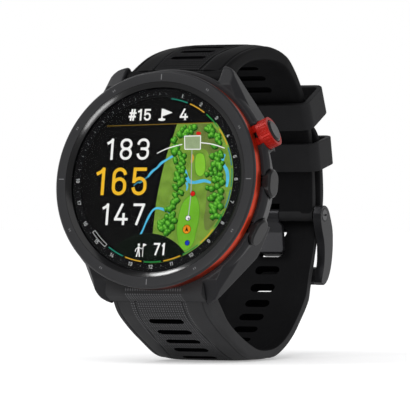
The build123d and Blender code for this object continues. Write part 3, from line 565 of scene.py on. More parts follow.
        # the tip thins to a rounded edge
        q = np.clip((Lo - s) / 1.3, 0, 1)
        k = np.sqrt(np.clip(1 - (1 - q) ** 2, 0, 1))[:, None]
        RH = (RH - Th[:, None] / 2) * (0.15 + 0.85 * k) + Th[:, None] / 2
    m = RX.shape[1]
    V = np.zeros((len(s), m, 3))
    V[:, :, 0] = RX
    V[:, :, 1] = I[:, None, 0] + N[:, None, 0] * RH
    V[:, :, 2] = I[:, None, 1] + N[:, None, 1] * RH
    n = len(s)
    i, j = np.meshgrid(np.arange(n - 1), np.arange(m), indexing="ij")
    j2 = (j + 1) % m
    quads = np.stack([i * m + j, i * m + j2, (i + 1) * m + j2, (i + 1) * m + j], -1).reshape(-1, 4)
    verts = V.reshape(-1, 3)
    caps = [list(range(m))[::-1], list(range((n - 1) * m, n * m))]
    half = CX.shape[1] - 11                      # first column of the inner face
    inside = ((j >= half) & (j < m - half)).reshape(-1)
    return world(verts), quads, caps, inside


def put_band(name, data, mat, body, replaces):
    verts, quads, caps, inside = data
    faces = quads.tolist() + caps
    ob = put(name, verts, faces, mat, body, replaces, sharp=38)
    ob.data.materials.append(M["band_inner_shade"])
    ob.data.materials.append(M["band_slot_shade"])
    # inner faces take the darker material, painted shade inside the loop
    ob.data.polygons.foreach_set("material_index", inside.astype(np.int32).tolist() + [0] * len(caps))
    return ob


def slot_cutter(y, z, ty, tz, long, wide, deep=4.0):
    n = math.hypot(ty, tz)
    T2 = np.array([0, ty / n, tz / n])
    N2 = np.array([0, tz / n, -ty / n])
    X2 = np.array([1.0, 0, 0])
    c = world([[0, y, z]])[0]

    def to(p, h):
        return c + p[:, :1] * X2 + p[:, 1:2] * T2 + h * N2
    v, f = prism(stadium(long, wide), -deep, deep, to)
    if np.linalg.det(np.stack([X2, T2, N2])) < 0:
        f = [q[::-1] for q in f]
    return v, f


def rod(y, z, r, x0, x1, n=40):
    c = world([[0, y, z]])[0]

    def to(p, h):
        return np.stack([np.full(len(p), c[0] + h), c[1] + p[:, 0], c[2] + p[:, 1]], 1)
    return prism(disc(0, 0, r, n), x0, x1, to)


short_out = [(-14.35, 61.6), (-8.2, 64.35), (-3.0, 65.95), (3.0, 67.1), (8.0, 67.6), (13.2, 67.25), (19.1, 65.85),
             (23.7, 63.4), (27.9, 60.0), (31.9, 55.5), (34.6, 50.9), (36.4, 45.0), (37.35, 38.5), (37.6, 34.4),
             (37.4, 30.8)]
short_in = [(34.6, 30.8), (34.85, 34.1), (34.75, 38.5), (33.9, 44.0), (32.2, 49.4), (30.0, 53.2),
            (27.0, 56.9), (22.7, 60.4), (17.6, 63.0), (12.0, 64.0), (6.8, 64.1), (2.0, 63.75), (-2.6, 62.85),
            (-6.4, 61.3), (-9.4, 59.2), (-11.4, 57.3)][::-1]
tail_out = [(-22.95, 12.75), (-21.1, 10.2), (-17.5, 7.6), (-12.9, 5.05), (-8.4, 2.9), (-4.4, 1.05), (-0.9, -0.02),
            (3.2, -0.38), (7.6, -0.4), (12.2, -0.3), (15.2, 0.45), (17.9, 1.5), (21.2, 3.2), (23.9, 5.05), (26.0, 6.85),
            (29.7, 10.2), (32.5, 13.85), (35.2, 18.5), (37.1, 22.9), (38.8, 27.1), (40.3, 31.0), (41.0, 34.6),
            (40.9, 38.5), (40.2, 43.5), (38.6, 48.6), (37.2, 52.0), (35.6, 55.0)]
tail_in = [(33.7, 54.2), (35.05, 51.3), (36.4, 47.9), (37.6, 43.3), (38.15, 38.5), (38.3, 34.8), (38.0, 31.3),
           (36.45, 27.6), (34.75, 23.7), (32.7, 19.6), (30.1, 15.5), (27.2, 11.8), (24.0, 8.7), (20.8, 6.1),
           (17.4, 4.05), (14.0, 2.75), (11.0, 2.15), (7.6, 1.95), (4.0, 2.2), (0.4, 3.15), (-3.8, 4.7), (-8.0, 6.6),
           (-11.9, 8.9), (-15.2, 12.0), (-17.2, 14.0), (-18.75, 16.1)][::-1]
upper_pin, lower_pin = sd(22.3, 8.0), sd(-22.3, 8.0)
vents_up = [((-8.2, 64.2), (5.0, 1.7)), ((-3.6, 65.45), (5.0, 1.1)), ((1.1, 66.1), (5.0, 0.6)),
            ((5.8, 66.6), (5.0, 0.3)), ((10.5, 66.6), (5.0, -0.4))]
vents_down = [((-18.6, 8.9), (2.9, -2.2)), ((-14.8, 6.3), (3.8, -2.3)), ((-10.8, 4.0), (4.0, -2.3)),
              ((-6.9, 2.0), (4.0, -2.0)), ((-2.6, 0.3), (4.0, -1.0))]
holes = [((12.6, 1.9), (3.3, 0.8)), ((17.0, 3.3), (4.0, 1.6)), ((21.0, 5.2), (3.5, 2.2)),
         ((24.6, 7.6), (3.3, 2.9)), ((27.8, 10.6), (3.0, 3.4)), ((30.6, 14.1), (2.6, 3.6)),
         ((33.2, 18.0), (2.3, 4.0)), ((35.3, 22.0), (2.0, 4.2)), ((37.1, 26.4), (1.6, 4.2)),
         ((38.8, 31.0), (1.0, 4.4)), ((39.4, 35.6), (0.2, 4.5)), ((39.1, 40.2), (-0.5, 4.5))]
FINE = 0.16
COARSE = 0.45

tail = put_band("tail_strap_look",
                band("tail", tail_out, tail_in, "band_loop", ["tail_strap"], ([0, 8, 26, 130], [5.2, 5.5, 6.7, 6.7]), 30.0,
                     FINE, COARSE, tip=True), M["band"], "band_loop", ["tail_strap"])
cut(tail, [rod(*lower_pin, 2.3, -11.0, 11.0)], "UNION")
cut(tail, [slot_cutter(*p, *t, 8.0, 1.9) for p, t in vents_down] + [slot_cutter(*p, *t, 5.8, 2.1) for p, t in holes], dark=True)
w_ = 0.96


def head_yz(u, d):
    y, z = sd(u, d)
    return y, z


def side_prism(loop, x0, x1):
    def to(p, h):
        return world(np.stack([np.full(len(p), h), p[:, 0], p[:, 1]], 1))
    lp = np.asarray(loop, float)
    area = 0.5 * np.sum(lp[:, 0] * np.roll(lp[:, 1], -1) - np.roll(lp[:, 0], -1) * lp[:, 1])
    if area < 0:
        lp = lp[::-1]
    return prism(lp, x0, x1, to)


cut(tail, [rod(*lower_pin, 1.62, -11.5, 11.5)])
cut(tail, [side_prism([head_yz(-22.3 - w_, 8.0), head_yz(-22.3 + w_, 8.0), head_yz(-22.3 + w_, 3),
                       head_yz(-22.3 - w_, 3)], -12, 12)])

short = put_band("short_strap_look",
                 band("short", short_out, short_in, "band_loop", ["short_strap"], ([0, 8, 26, 130], [5.2, 5.5, 6.7, 6.4]),
                      30.0, FINE, COARSE), M["band"], "band_loop", ["short_strap"])
cut(short, [rod(*upper_pin, 2.3, -11.0, 11.0)], "UNION")
cut(short, [rod(36.0, 30.8, 1.4, -9.7, 9.7)], "UNION")
cut(short, [slot_cutter(*p, *t, 8.0, 1.9) for p, t in vents_up], dark=True)
cut(short, [slot_cutter(*p, *t, 8.0, 1.7, 0.7) for p, t in (((18.6, 62.55), (1.0, -0.42)), ((22.4, 60.6), (1.0, -0.80)),
                                                           ((25.6, 58.15), (1.0, -1.10)))], dark=True)
cut(short, [rod(*upper_pin, 1.62, -11.5, 11.5)])
cut(short, [rod(36.0, 30.8, 0.76, -11.5, 11.5)])
cut(short, [side_prism([(33.0, 28.7), (39.0, 28.7), (39.0, 33.3), (33.0, 33.3)], -1.75, 1.75)])


def slider_pocket(y, z, ty, tz):
    n = (-tz, ty) if ty * tz < 0 else (tz, -ty)
    loop = []
    for a, b in ((-2.3, -1.3), (2.3, -1.3), (2.3, 2.5), (-2.3, 2.5)):
        loop.append((y + ty * a + n[0] * b, z + tz * a + n[1] * b))
    return side_prism(loop, -3.2, 3.2)


cut(short, [slider_pocket(-7.7, 60.5, 0.80, 0.60)])
cut(tail, [slider_pocket(-13.65, 10.55, 0.735, -0.678)])
for ob in (tail, short):
    ob.data.polygons.foreach_set("use_smooth", [True] * len(ob.data.polygons))
    ob.data.set_sharp_from_angle(angle=math.radians(38))

# end of the band that fills the gap in front of the lower lug pin
low_root = rounded([head_yz(*q) for q in [(-20.3, 3.62), (-23.0, 3.55), (-23.86, 3.6), (-24.2, 4.25), (-24.5, 5.1), (-24.96, 6.2),
                    (-24.4, 6.5), (-23.6, 5.95), (-22.9, 5.62), (-20.3, 5.6)]], [0, 0.2, 0.5, 0.5, 0.5, 0.2, 0.1, 0.3, 0.3, 0], 4)
v, f = side_prism(low_root, -11.15, 11.15)
put("lower_filler_look", v, f, M["band"], "watch", ["lower_filler"], sharp=40)

# ------------------------------------------------------------------ bezel, accent ring, glass
bez = rounded([(20.80, 0.0), (22.72, 0.0), (23.06, 0.34), (23.12, 0.85), (22.3, 0.87), (22.3, 2.9), (20.6, 2.9),
               (20.6, 0.5)], [0.05, 0.16, 0.16, 0.05, 0, 0, 0, 0], 5)
v, f = lathe(bez, 360)
put("bezel_look", v, f[:, ::-1], M["bezel"], "watch", ["bezel_ring"], sharp=28)
slope = rounded([(19.62, 2.9), (19.62, 0.64), (20.70, 0.03), (20.79, 0.02), (20.79, 2.9)], [0, 0.06, 0.04, 0, 0], 4)
v, f = lathe(slope, 360)
put("bezel_slope_look", v, f[:, ::-1], M["slope"], "watch", ["bezel_ring"], sharp=24)
acc = rounded([(22.4, 0.92), (22.86, 0.92), (22.98, 1.7), (23.04, 3.2), (22.95, 3.55), (22.4, 3.55)],
              [0, 0.12, 0.3, 0.15, 0.1, 0], 5)
v, f = lathe(acc, 360)
put("accent_look", v, f[:, ::-1], M["accent"], "watch", ["accent_ring"], sharp=30)


def flat(d0, d1):
    def to(p, h):
        return head(np.stack([p[:, 0], p[:, 1], np.full(len(p), h)], 1))
    return to


def many(name, loops, d0, d1, mat, body="watch", sharp=30):
    vs, fs, k = [], [], 0
    for lp in loops:
        lp = np.asarray(lp, float)
        area = 0.5 * np.sum(lp[:, 0] * np.roll(lp[:, 1], -1) - np.roll(lp[:, 0], -1) * lp[:, 1])
        if area > 0:
            lp = lp[::-1]
        v, f = prism(lp, d0, d1, flat(0, 0))
        vs.append(v)
        fs += [[i + k for i in q][::-1] for q in f]
        k += len(v)
    return put(name, np.vstack(vs), fs, mat, body, (), smooth=False)


def bar(r, ang, long, wide):
    a = math.radians(ang)
    er, et = np.array([math.sin(a), math.cos(a)]), np.array([math.cos(a), -math.sin(a)])
    c = er * r
    return np.array([c - er * long / 2 - et * wide / 2, c + er * long / 2 - et * wide / 2,
                     c + er * long / 2 + et * wide / 2, c - er * long / 2 + et * wide / 2])


marks = []
for k in range(12):
    if k % 3 == 0:
        marks.append(bar(21.75, 30 * k, 1.2, 0.16))
    else:
        marks.append(bar(21.75, 30 * k - 0.55, 0.42, 0.16))
        marks.append(bar(21.75, 30 * k + 0.55, 0.42, 0.16))
many("bezel_marks", marks, 0.02, -0.012, M["mark"])

gl = rounded([(0, 0.6), (19.3, 0.6), (19.5, 0.78), (19.5, 1.15), (0, 1.15)], [0, 0.1, 0.06, 0, 0], 4)
v, f = turned(gl)
put("glass_look", v, f, M["glass"], "watch", ["lens_glass"], sharp=25)
dm = [(0, 1.36), (18.5, 1.36), (18.5, 3.85), (0, 3.85)]
v, f = turned(dm)
put("display_look", v, f, M["black"], "watch", ["display_module"], sharp=25)
v, f = lathe([(17.72, 1.20), (19.55, 1.20), (19.55, 2.82), (18.75, 2.82), (18.75, 1.34), (17.72, 1.34)], 256)
put("display_border_look", v, f[:, ::-1], M["ring"], "watch", ["lens_gasket"], sharp=25)

# ------------------------------------------------------------------ what the display shows
G = {
    "white": glow("lit_white", (244, 244, 242)),
    "soft": glow("lit_grey", (176, 178, 178)),
    "dim": glow("lit_dim", (120, 122, 124)),
    "gold": glow("lit_gold", (242, 190, 44), vary=0.06),
    "rule": glow("lit_rule", (130, 104, 34)),
    "rough": glow("lit_rough", (116, 152, 56), vary=0.22, coarse=520),
    "rough2": glow("lit_rough_dark", (104, 122, 58), vary=0.22, coarse=420),
    "fair": glow("lit_fairway", (132, 196, 54), vary=0.08, coarse=300),
    "tee": glow("lit_tee", (110, 178, 44), vary=0.10, coarse=300),
    "edge": glow("lit_fairway_edge", (74, 138, 34)),
    "tree0": glow("lit_tree_shadow", (22, 58, 16), vary=0.2, coarse=900),
    "tree1": glow("lit_tree_dark", (40, 104, 24), vary=0.2, coarse=1200),
    "tree2": glow("lit_tree_mid", (66, 146, 36), vary=0.2, coarse=1500),
    "tree3": glow("lit_tree_top", (112, 190, 62), vary=0.15, coarse=1500),
    "water": glow("lit_water", (84, 186, 222), vary=0.12, coarse=600),
    "creek": glow("lit_creek", (58, 142, 172), vary=0.15, coarse=600),
    "box": glow("lit_box_fill", (150, 168, 128), vary=0.08),
    "red": glow("lit_red", (206, 34, 28)),
    "orange": glow("lit_orange", (232, 142, 30), vary=0.2, coarse=420),
    "ink": glow("lit_ink", (24, 18, 8)),
    "blue": glow("lit_blue", (30, 58, 170)),
    "teal": glow("lit_teal", (34, 128, 108)),
    "green": glow("lit_green", (34, 132, 62)),
    "amber": glow("lit_amber", (206, 160, 44)),
    "sky": glow("lit_sky", (48, 120, 150)),
    "dome": glow("lit_dome", (7, 14, 8), vary=0.25, coarse=200),
    "halo": glow("lit_dome_edge", (40, 52, 42)),
}
R = 17.62
Z = {"map": 1.345, "map2": 1.335, "fair": 1.325, "fair2": 1.315, "water": 1.305, "t0": 1.295, "t1": 1.285, "t2": 1.275,
     "t3": 1.265, "box": 1.255, "line": 1.245, "spot": 1.235, "dome": 1.225, "text": 1.205}


def lay(name, loops, key, z):
    return many("lcd_" + name, loops, Z[z], Z[z] - 0.008, G[key])


def ribbon(points, width, smooth=2):
    p = chaikin(points, closed=False, times=smooth)
    t = np.gradient(p, axis=0)
    t /= np.linalg.norm(t, axis=1)[:, None]
    n = np.stack([-t[:, 1], t[:, 0]], 1)
    w = np.asarray(width) if not np.isscalar(width) else np.full(len(p), width)
    if len(w) != len(p):
        w = np.interp(np.linspace(0, 1, len(p)), np.linspace(0, 1, len(w)), w)
    return np.vstack([p + n * w[:, None] / 2, (p - n * w[:, None] / 2)[::-1]])


def ring_arc(r0, r1, a0, a1, k=16):
    a = np.radians(np.linspace(a0, a1, k))
    out = np.stack([r1 * np.sin(a), r1 * np.cos(a)], 1)
    inn = np.stack([r0 * np.sin(a), r0 * np.cos(a)], 1)[::-1]
    return np.vstack([out, inn])


# course map, clipped by the round screen
left = chaikin([(3.84, 12.05), (3.12, 9.4), (1.91, 5.51), (0.84, -0.04), (0.28, -4.48), (0.04, -8.91), (-0.1, -17.4)],
               closed=False, times=2)
a0, a1 = math.atan2(12.05, math.sqrt(R * R - 12.05 ** 2)), math.atan2(-17.4, -0.1)
aa = np.linspace(a0, a1, 60)
right = np.stack([R * np.cos(aa), R * np.sin(aa)], 1)
lay("map", [np.vstack([right, left[::-1][:-1], left[:1]])], "rough", "map")
lay("map_woods", [chaikin([(6.2, 11.9), (12.3, 11.9), (14.6, 8.2), (14.9, 3.4), (12.2, 2.2), (11.6, 6.4), (8.4, 6.8), (7.2, 9.4)]),
                  chaikin([(11.6, -1.6), (16.4, -2.0), (16.3, -5.4), (12.6, -11.6), (11.4, -9.0), (11.9, -5.0)])],
    "rough2", "map2")
fair1 = chaikin([(8.62, 4.92), (8.99, 5.59), (10.08, 5.64), (10.74, 4.91), (11.09, 2.7), (10.9, 1.32), (10.05, 0.66),
                 (9.03, 1.32), (8.66, 2.99)])
fair2 = chaikin([(7.6, -3.49), (8.96, -3.1), (9.95, -4.21), (10.5, -6.69), (10.32, -8.89), (9.89, -11.1),
                 (9.74, -13.03), (8.62, -14.6), (7.14, -15.0), (6.12, -13.3), (5.5, -10.56), (5.71, -7.8),
                 (6.27, -5.03)])


def grown(loop, k):
    c = loop.mean(0)
    q = loop - c
    return c + q * (1 + k / np.linalg.norm(q, axis=1)[:, None])


lay("fairway_edge", [grown(fair1, 0.14), grown(fair2, 0.14)], "edge", "fair")
lay("fairway", [fair1], "fair", "fair2")
lay("tee", [fair2], "tee", "fair2")
lay("water", [ribbon([(5.4, 3.3), (6.1, 2.5), (6.57, 1.89), (6.91, 0.61), (7.53, -0.33), (8.58, -0.61), (9.95, -0.35),
                      (11.14, -0.1), (12.6, -0.62)], [0.25, 0.5, 0.55, 0.7, 0.85, 0.6, 0.75, 0.6, 0.35]),
              ribbon([(7.0, -0.5), (7.3, -1.5), (7.1, -2.2)], [0.6, 0.4, 0.2]),
              ribbon([(15.35, 5.4), (14.75, 4.3), (15.3, 3.1), (16.1, 2.0), (16.45, 0.4), (16.3, -1.5)],
                     [0.45, 0.75, 0.55, 0.8, 0.7, 0.4])], "water", "water")
creek1 = [(3.5, 5.1), (2.9, 4.85), (2.01, 4.29), (0.74, 3.61), (0.0, 2.6), (-1.15, 1.91), (-2.08, 0.64)]
creek1b = [(-2.08, 0.64), (-2.99, 0.05), (-3.7, -0.6), (-4.3, -0.45), (-5.2, -1.2)]
creek2 = [(3.9, -7.3), (3.3, -6.6), (2.5, -6.5), (1.76, -6.1), (0.41, -5.9), (-0.47, -6.47), (-1.16, -7.69), (-1.9, -9.36),
          (-2.4, -10.8), (-3.0, -11.9)]
creek3 = [(-5.9, -13.1), (-6.3, -13.9), (-7.1, -14.2), (-7.7, -14.9), (-8.6, -15.2)]
lay("creek", [ribbon(creek1, [0.2, 0.5, 0.4, 0.6, 0.4, 0.55, 0.35]), ribbon(creek2, [0.2, 0.5, 0.35, 0.55, 0.45, 0.4, 0.5, 0.35, 0.4, 0.3])],
    "water", "water")
lay("creek_far", [ribbon(creek1b, [0.35, 0.3, 0.4, 0.25, 0.3]), ribbon(creek3, [0.3, 0.45, 0.3, 0.4, 0.2])], "creek", "spot")
# trees
tl = [(5.13, 10.78), (6.94, 10.93), (7.84, 11.03), (6.37, 10.49), (4.62, 9.67), (3.31, 8.29), (4.21, 7.17), (3.58, 5.95),
      (4.95, 5.5), (3.95, 4.28), (5.46, 4.39), (4.68, 2.72), (5.84, 1.89), (4.69, 1.17), (5.43, -0.6), (4.61, -1.71),
      (6.0, -0.05), (4.42, -3.09), (5.59, -2.54), (4.25, -4.76), (5.12, -4.2), (3.45, -6.14), (2.98, -7.8),
      (4.27, -7.25), (2.16, -8.91), (3.4, -9.18), (1.97, -10.29), (3.23, -10.84), (4.25, -10.01), (4.56, -8.63),
      (1.39, -9.19), (5.3, 3.4), (4.1, 6.6), (4.0, -5.6), (2.7, -9.9), (5.0, 0.3), (5.6, 9.6)]
tr = [(11.14, 11.28), (12.11, 10.44), (10.88, 10.73), (13.1, 9.33), (12.0, 9.61), (13.93, 7.94), (12.97, 7.12),
      (14.28, 5.73), (13.4, 5.45), (12.54, 4.91), (13.8, 4.24), (12.85, 3.25), (14.52, 2.69), (13.44, 1.86),
      (12.52, 1.31), (14.46, 1.14), (13.23, -0.07), (15.08, -0.63), (14.05, -1.29), (12.89, -1.84), (14.97, -2.39),
      (13.59, -3.1), (14.73, -3.93), (13.05, -3.93), (14.11, -5.14), (15.16, -5.58), (13.73, -6.41), (14.5, -7.51),
      (13.54, -7.79), (13.9, 3.3), (14.2, 0.2), (13.4, 8.4), (14.4, -4.4), (13.3, -5.5)]
t0, t1, t2, t3 = [], [], [], []


def blob(cx, cy, r, n=14):
    a = np.linspace(0, 2 * math.pi, n, endpoint=False)
    q = r * (1 + 0.10 * np.sin(3 * a + cx * 5) + 0.08 * np.cos(5 * a + cy * 3))
    return np.stack([cx + q * np.cos(a), cy + q * np.sin(a)], 1)


for (x, y) in tl + tr:
    for k in range(3):
        jx, jy = rng.normal(0, 0.42, 2) if k else (0, 0)
        r = rng.uniform(0.52, 0.76) * (0.78 if k else 1)
        x1, y1 = x + jx, y + jy
        if math.hypot(x1, y1) > R - r:
            s_ = (R - r - 0.05) / math.hypot(x1, y1)
            x1, y1 = x1 * s_, y1 * s_
        t0.append(blob(x1 + 0.16, y1 - 0.2, r))
        t1.append(blob(x1, y1, r))
        t2.append(blob(x1 - 0.06, y1 + 0.08, r * 0.72))
        t3.append(blob(x1 - 0.12, y1 + 0.18, r * 0.36))
lay("tree_shadow", t0, "tree0", "t0")
lay("tree_dark", t1, "tree1", "t1")
lay("tree_mid", t2, "tree2", "t2")
lay("tree_top", t3, "tree3", "t3")
# aim box, distance arc, line of play and markers
bx = [(5.78, 9.27), (9.5, 9.32), (9.66, 6.47), (6.08, 6.49)]
lay("aim_fill", [bx], "box", "box")
edges = [ribbon([bx[k], bx[(k + 1) % 4]], 0.2, 0) for k in range(4)]
lay("aim_edge", edges, "white", "spot")
lay("distance_arc", [ribbon([(-0.35, 5.64), (1.23, 6.41), (3.01, 7.01), (5.39, 7.55)], [0.16, 0.22, 0.22, 0.2]),
                     ribbon([(9.7, 7.86), (12.03, 7.62), (13.6, 7.2), (15.23, 6.66)], [0.2, 0.22, 0.22, 0.16])], "white", "line")
lay("play_line", [ribbon([(7.72, 6.48), (7.94, 2.16), (8.25, -2.82), (8.13, -5.59), (7.96, -8.07)], 0.17)], "soft", "line")
lay("hazard_edge", [disc(8.64, -2.93, 0.62)], "ink", "line")
lay("hazard", [disc(8.64, -2.93, 0.5)], "red", "spot")
lay("flag", [chaikin([(8.4, 9.5), (8.5, 10.3), (9.6, 10.1), (9.5, 9.5)], times=2)], "red", "spot")
lay("scorch", [chaikin([(7.6, 5.4), (7.95, 4.6), (7.5, 4.0), (7.9, 3.2), (8.1, 3.9), (8.4, 4.6), (8.0, 5.5)])], "amber", "t3")
lay("ball_edge", [disc(7.96, -8.07, 0.62)], "ink", "line")
lay("ball", [disc(7.96, -8.07, 0.5)], "white", "spot")
lay("ball_mark", [disc(8.12, -8.2, 0.24)], "dim", "dome")
lay("you_edge", [disc(7.85, -10.44, 0.98)], "ink", "line")
lay("you", [disc(7.85, -10.44, 0.88)], "orange", "spot")
lay("you_arrow", [[(7.85, -9.86), (8.28, -11.0), (7.85, -10.72), (7.42, -11.0)]], "ink", "dome")
lay("hole_edge", [disc(8.2, -13.31, 0.6)], "ink", "line")
lay("hole_spot", [disc(8.2, -13.31, 0.5)], "blue", "spot")
# lower dome with its caddie sign
cy_, cr_ = -22.65, 11.24
a = np.linspace(math.radians(90 - 52), math.radians(90 + 52), 50)
top = np.stack([-0.8 + cr_ * np.cos(a), cy_ + cr_ * np.sin(a)], 1)
top = top[np.hypot(top[:, 0], top[:, 1]) < R]
b0, b1 = math.atan2(top[0, 1], top[0, 0]), math.atan2(top[-1, 1], top[-1, 0])
bb = np.linspace(b1 + 2 * math.pi if b1 < b0 else b1, b0 + 2 * math.pi if b1 < b0 else b0, 3)
arc_b = np.linspace(b1, b0, 30) if b1 < b0 else np.linspace(b1 - 2 * math.pi, b0, 30)
low = np.stack([R * np.cos(arc_b), R * np.sin(arc_b)], 1)
lay("dome", [np.vstack([top, low[1:-1]])], "dome", "dome")
lay("dome_edge", [np.vstack([top, (top + np.array([0, 0.09]))[::-1]])], "halo", "dome")


def box4(x0, y0, x1, y1):
    return [(x0, y0), (x1, y0), (x1, y1), (x0, y1)]


icon = [disc(-2.95, -13.75, 0.27, 16), [(-3.2, -14.1), (-2.75, -14.1), (-2.72, -15.1), (-3.18, -15.1)],
        [(-3.18, -15.0), (-2.98, -15.0), (-3.2, -16.3), (-3.5, -16.3)], [(-2.98, -15.0), (-2.72, -15.0), (-2.5, -16.3), (-2.78, -16.3)],
        ribbon([(-3.1, -14.3), (-3.6, -14.7), (-3.7, -15.2)], 0.17, 0), ribbon([(-2.8, -14.3), (-2.3, -14.6), (-2.05, -14.4)], 0.17, 0),
        box4(-2.0, -16.3, -1.86, -13.5), [(-1.86, -13.45), (-1.1, -13.75), (-1.86, -14.15)]]
lay("caddie", icon, "white", "text")


def arc(cx, cy, rx, ry, a0, a1, n=12):
    a = np.radians(np.linspace(a0, a1, n))
    return [(cx + rx * math.cos(k), cy + ry * math.sin(k)) for k in a]


def strokes(c, w, h):
    """Centre lines of a narrow character in a box w by h, already inset by the pen."""
    r = min(w / 2, h * 0.27)
    m = h * 0.52
    if c == "0":
        return [arc(w - r, h - r, r, r, 0, 90) + arc(r, h - r, r, r, 90, 180) + arc(r, r, r, r, 180, 270) + arc(w - r, r, r, r, 270, 360) + [(w, h - r)]]
    if c == "1":
        return [[(w, 0), (w, h)], [(w, h - 0.01), (w * 0.55, h * 0.90), (0, h * 0.83)]]
    if c == "2":
        return [arc(r, h - r, r, r, 170, 90) + arc(w - r, h - r, r, r, 90, 0) + [(w, h * 0.66), (w * 0.85, h * 0.52), (0, 0)], [(0, 0), (w, 0)]]
    if c == "3":
        q = h - m
        return [arc(r, h - r, r, r, 165, 90) + arc(w - r, h - r * 0.95, r, r * 0.95, 90, 0) + arc(w - r * 0.8, m + q * 0.32, r * 0.8, q * 0.32, 0, -90),
                [(w * 0.36, m), (w - r * 0.8, m)] + arc(w - r, m - m * 0.33, r, m * 0.33, 90, 0) + arc(w - r, r, r, r, 0, -90) + arc(r, r, r, r, -90, -165)]
    if c == "4":
        return [[(w * 0.56, h), (0, h * 0.26)], [(0, h * 0.24), (w * 1.04, h * 0.24)], [(w * 0.74, h * 0.50), (w * 0.74, 0)]]
    if c == "5":
        return [[(w * 0.94, h), (w * 0.07, h)], [(w * 0.07, h), (w * 0.03, h * 0.50)],
                arc(r, h * 0.62 - r, r, r, 125, 90) + arc(w - r, h * 0.62 - r, r, r, 90, 0) + arc(w - r, r, r, r, 0, -90) + arc(r, r, r, r, -90, -165)]
    if c == "6":
        return [arc(w - r, h - r, r, r, 20, 90) + arc(r, h - r, r, r, 90, 180) + arc(r, r, r, r, 180, 270) + arc(w - r, r, r, r, 270, 360)
                + arc(w - r, h * 0.60 - r, r, r, 0, 90) + arc(r, h * 0.60 - r, r, r, 90, 165)]
    if c == "7":
        return [[(0, h), (w, h)], [(w, h), (w * 0.34, 0)]]
    if c == "8":
        q = (h - m) / 2
        k = r * 0.92
        return [arc(w / 2 + (w / 2 - k) * 0.92, h - min(k, q), k, min(k, q), 0, 90) + arc(w / 2 - (w / 2 - k) * 0.92, h - min(k, q), k, min(k, q), 90, 180)
                + arc(w / 2 - (w / 2 - k) * 0.92, m + min(k, q), k, min(k, q), 180, 270) + arc(w / 2 + (w / 2 - k) * 0.92, m + min(k, q), k, min(k, q), 270, 360),
                arc(w - r, m - min(r, m / 2), r, min(r, m / 2), 0, 90) + arc(r, m - min(r, m / 2), r, min(r, m / 2), 90, 180)
                + arc(r, min(r, m / 2), r, min(r, m / 2), 180, 270) + arc(w - r, min(r, m / 2), r, min(r, m / 2), 270, 360)]
    if c == "9":
        return [[(w - x, h - y) for x, y in k] for k in strokes("6", w, h)]
    if c == "#":
        return [[(w * 0.22, 0), (w * 0.42, h)], [(w * 0.62, 0), (w * 0.82, h)], [(w * 0.02, h * 0.32), (w * 0.90, h * 0.32)],
                [(w * 0.12, h * 0.68), (w, h * 0.68)]]
    return []


def pen_loops(c, x0, x1, u0, u1, pen, lean=0.0, turn=0.0):
    """Outlines of a character drawn with a round-jointed pen into the given box of the dial."""
    w, h = x1 - x0 - pen, u1 - u0 - pen
    out = []
    for line in strokes(c, w, h):
        p = np.array(line, float)
        keep = [0] + [k for k in range(1, len(p)) if np.linalg.norm(p[k] - p[k - 1]) > 1e-4]
        p = p[keep]
        p = p + np.array([x0 + pen / 2, u0 + pen / 2])
        p[:, 0] += (p[:, 1] - u0) * lean
        out.append(p)
    mid = np.array([(x0 + x1) / 2, (u0 + u1) / 2])
    t = -math.radians(turn)
    rot = np.array([[math.cos(t), -math.sin(t)], [math.sin(t), math.cos(t)]])
    loops = []
    for p in out:
        p = (p - mid) @ rot.T + mid
        # butt ends run half a pen on, so that joints fill
        a, b = p[0] - p[1], p[-1] - p[-2]
        p[0] = p[0] + a / np.linalg.norm(a) * pen * 0.46
        p[-1] = p[-1] + b / np.linalg.norm(b) * pen * 0.46
        loops.append(ribbon(p, pen, 0))
    return loops


def write(name, items, key, pen, z="text", lean=0.0):
    """items: (character, x0, x1, u0, u1, turn)"""
    loops = []
    for c, x0, x1, u0, u1, turn in items:
        loops += pen_loops(c, x0, x1, u0, u1, pen, lean, turn)
    # loops of one character share a plane and a colour; each is put down on its own
    vs, fs, k = [], [], 0
    for n, lp in enumerate(loops):
        m_ = len(lp) // 2
        lift = 0.0004 * (n % 3)
        top = np.stack([lp[:, 0], lp[:, 1], np.full(len(lp), Z[z] - 0.008 - lift)], 1)
        vs.append(head(top))
        for q in range(m_ - 1):
            fs.append([k + q, k + q + 1, k + 2 * m_ - 2 - q, k + 2 * m_ - 1 - q])
        k += len(lp)
    return put("lcd_" + name, np.vstack(vs), fs, G[key], "watch", (), smooth=False)


def chars(s, boxes, u0, u1):
    return [(c, a, b, u0, u1, 0) for c, (a, b) in zip(s, boxes)]


write("title", chars("#15", [(-7.6, -5.75), (-5.45, -4.55), (-4.0, -2.4)], 12.65, 15.15)
      + chars("4", [(4.35, 6.2)], 12.65, 15.15), "white", 0.40)
lay("pin", [[(0.05, 12.75), (0.40, 12.75), (0.40, 15.15), (0.05, 15.15)], [(0.40, 13.55), (2.65, 14.30), (0.40, 15.15)],
            disc(0.22, 0, 0.85, 20) * (1, 0.35) + (0, 12.85)], "white", "text")
write("far", chars("183", [(-12.1, -10.6), (-9.0, -6.2), (-5.05, -2.2)], 4.3, 8.85), "white", 0.56)
write("mid", chars("165", [(-14.1, -12.1), (-10.3, -6.95), (-5.65, -2.2)], -3.25, 2.65), "gold", 0.72)
write("near", chars("147", [(-12.1, -10.6), (-9.2, -6.1), (-4.9, -2.2)], -9.6, -5.0), "white", 0.56)
write("play", chars("71", [(0.45, 1.95), (2.35, 3.05)], -15.95, -13.35), "white", 0.40, lean=0.03)
lay("rule", [[(-12.5, 11.50), (-12.5, 11.62), (12.4, 12.19), (12.4, 12.02)]], "rule", "text")
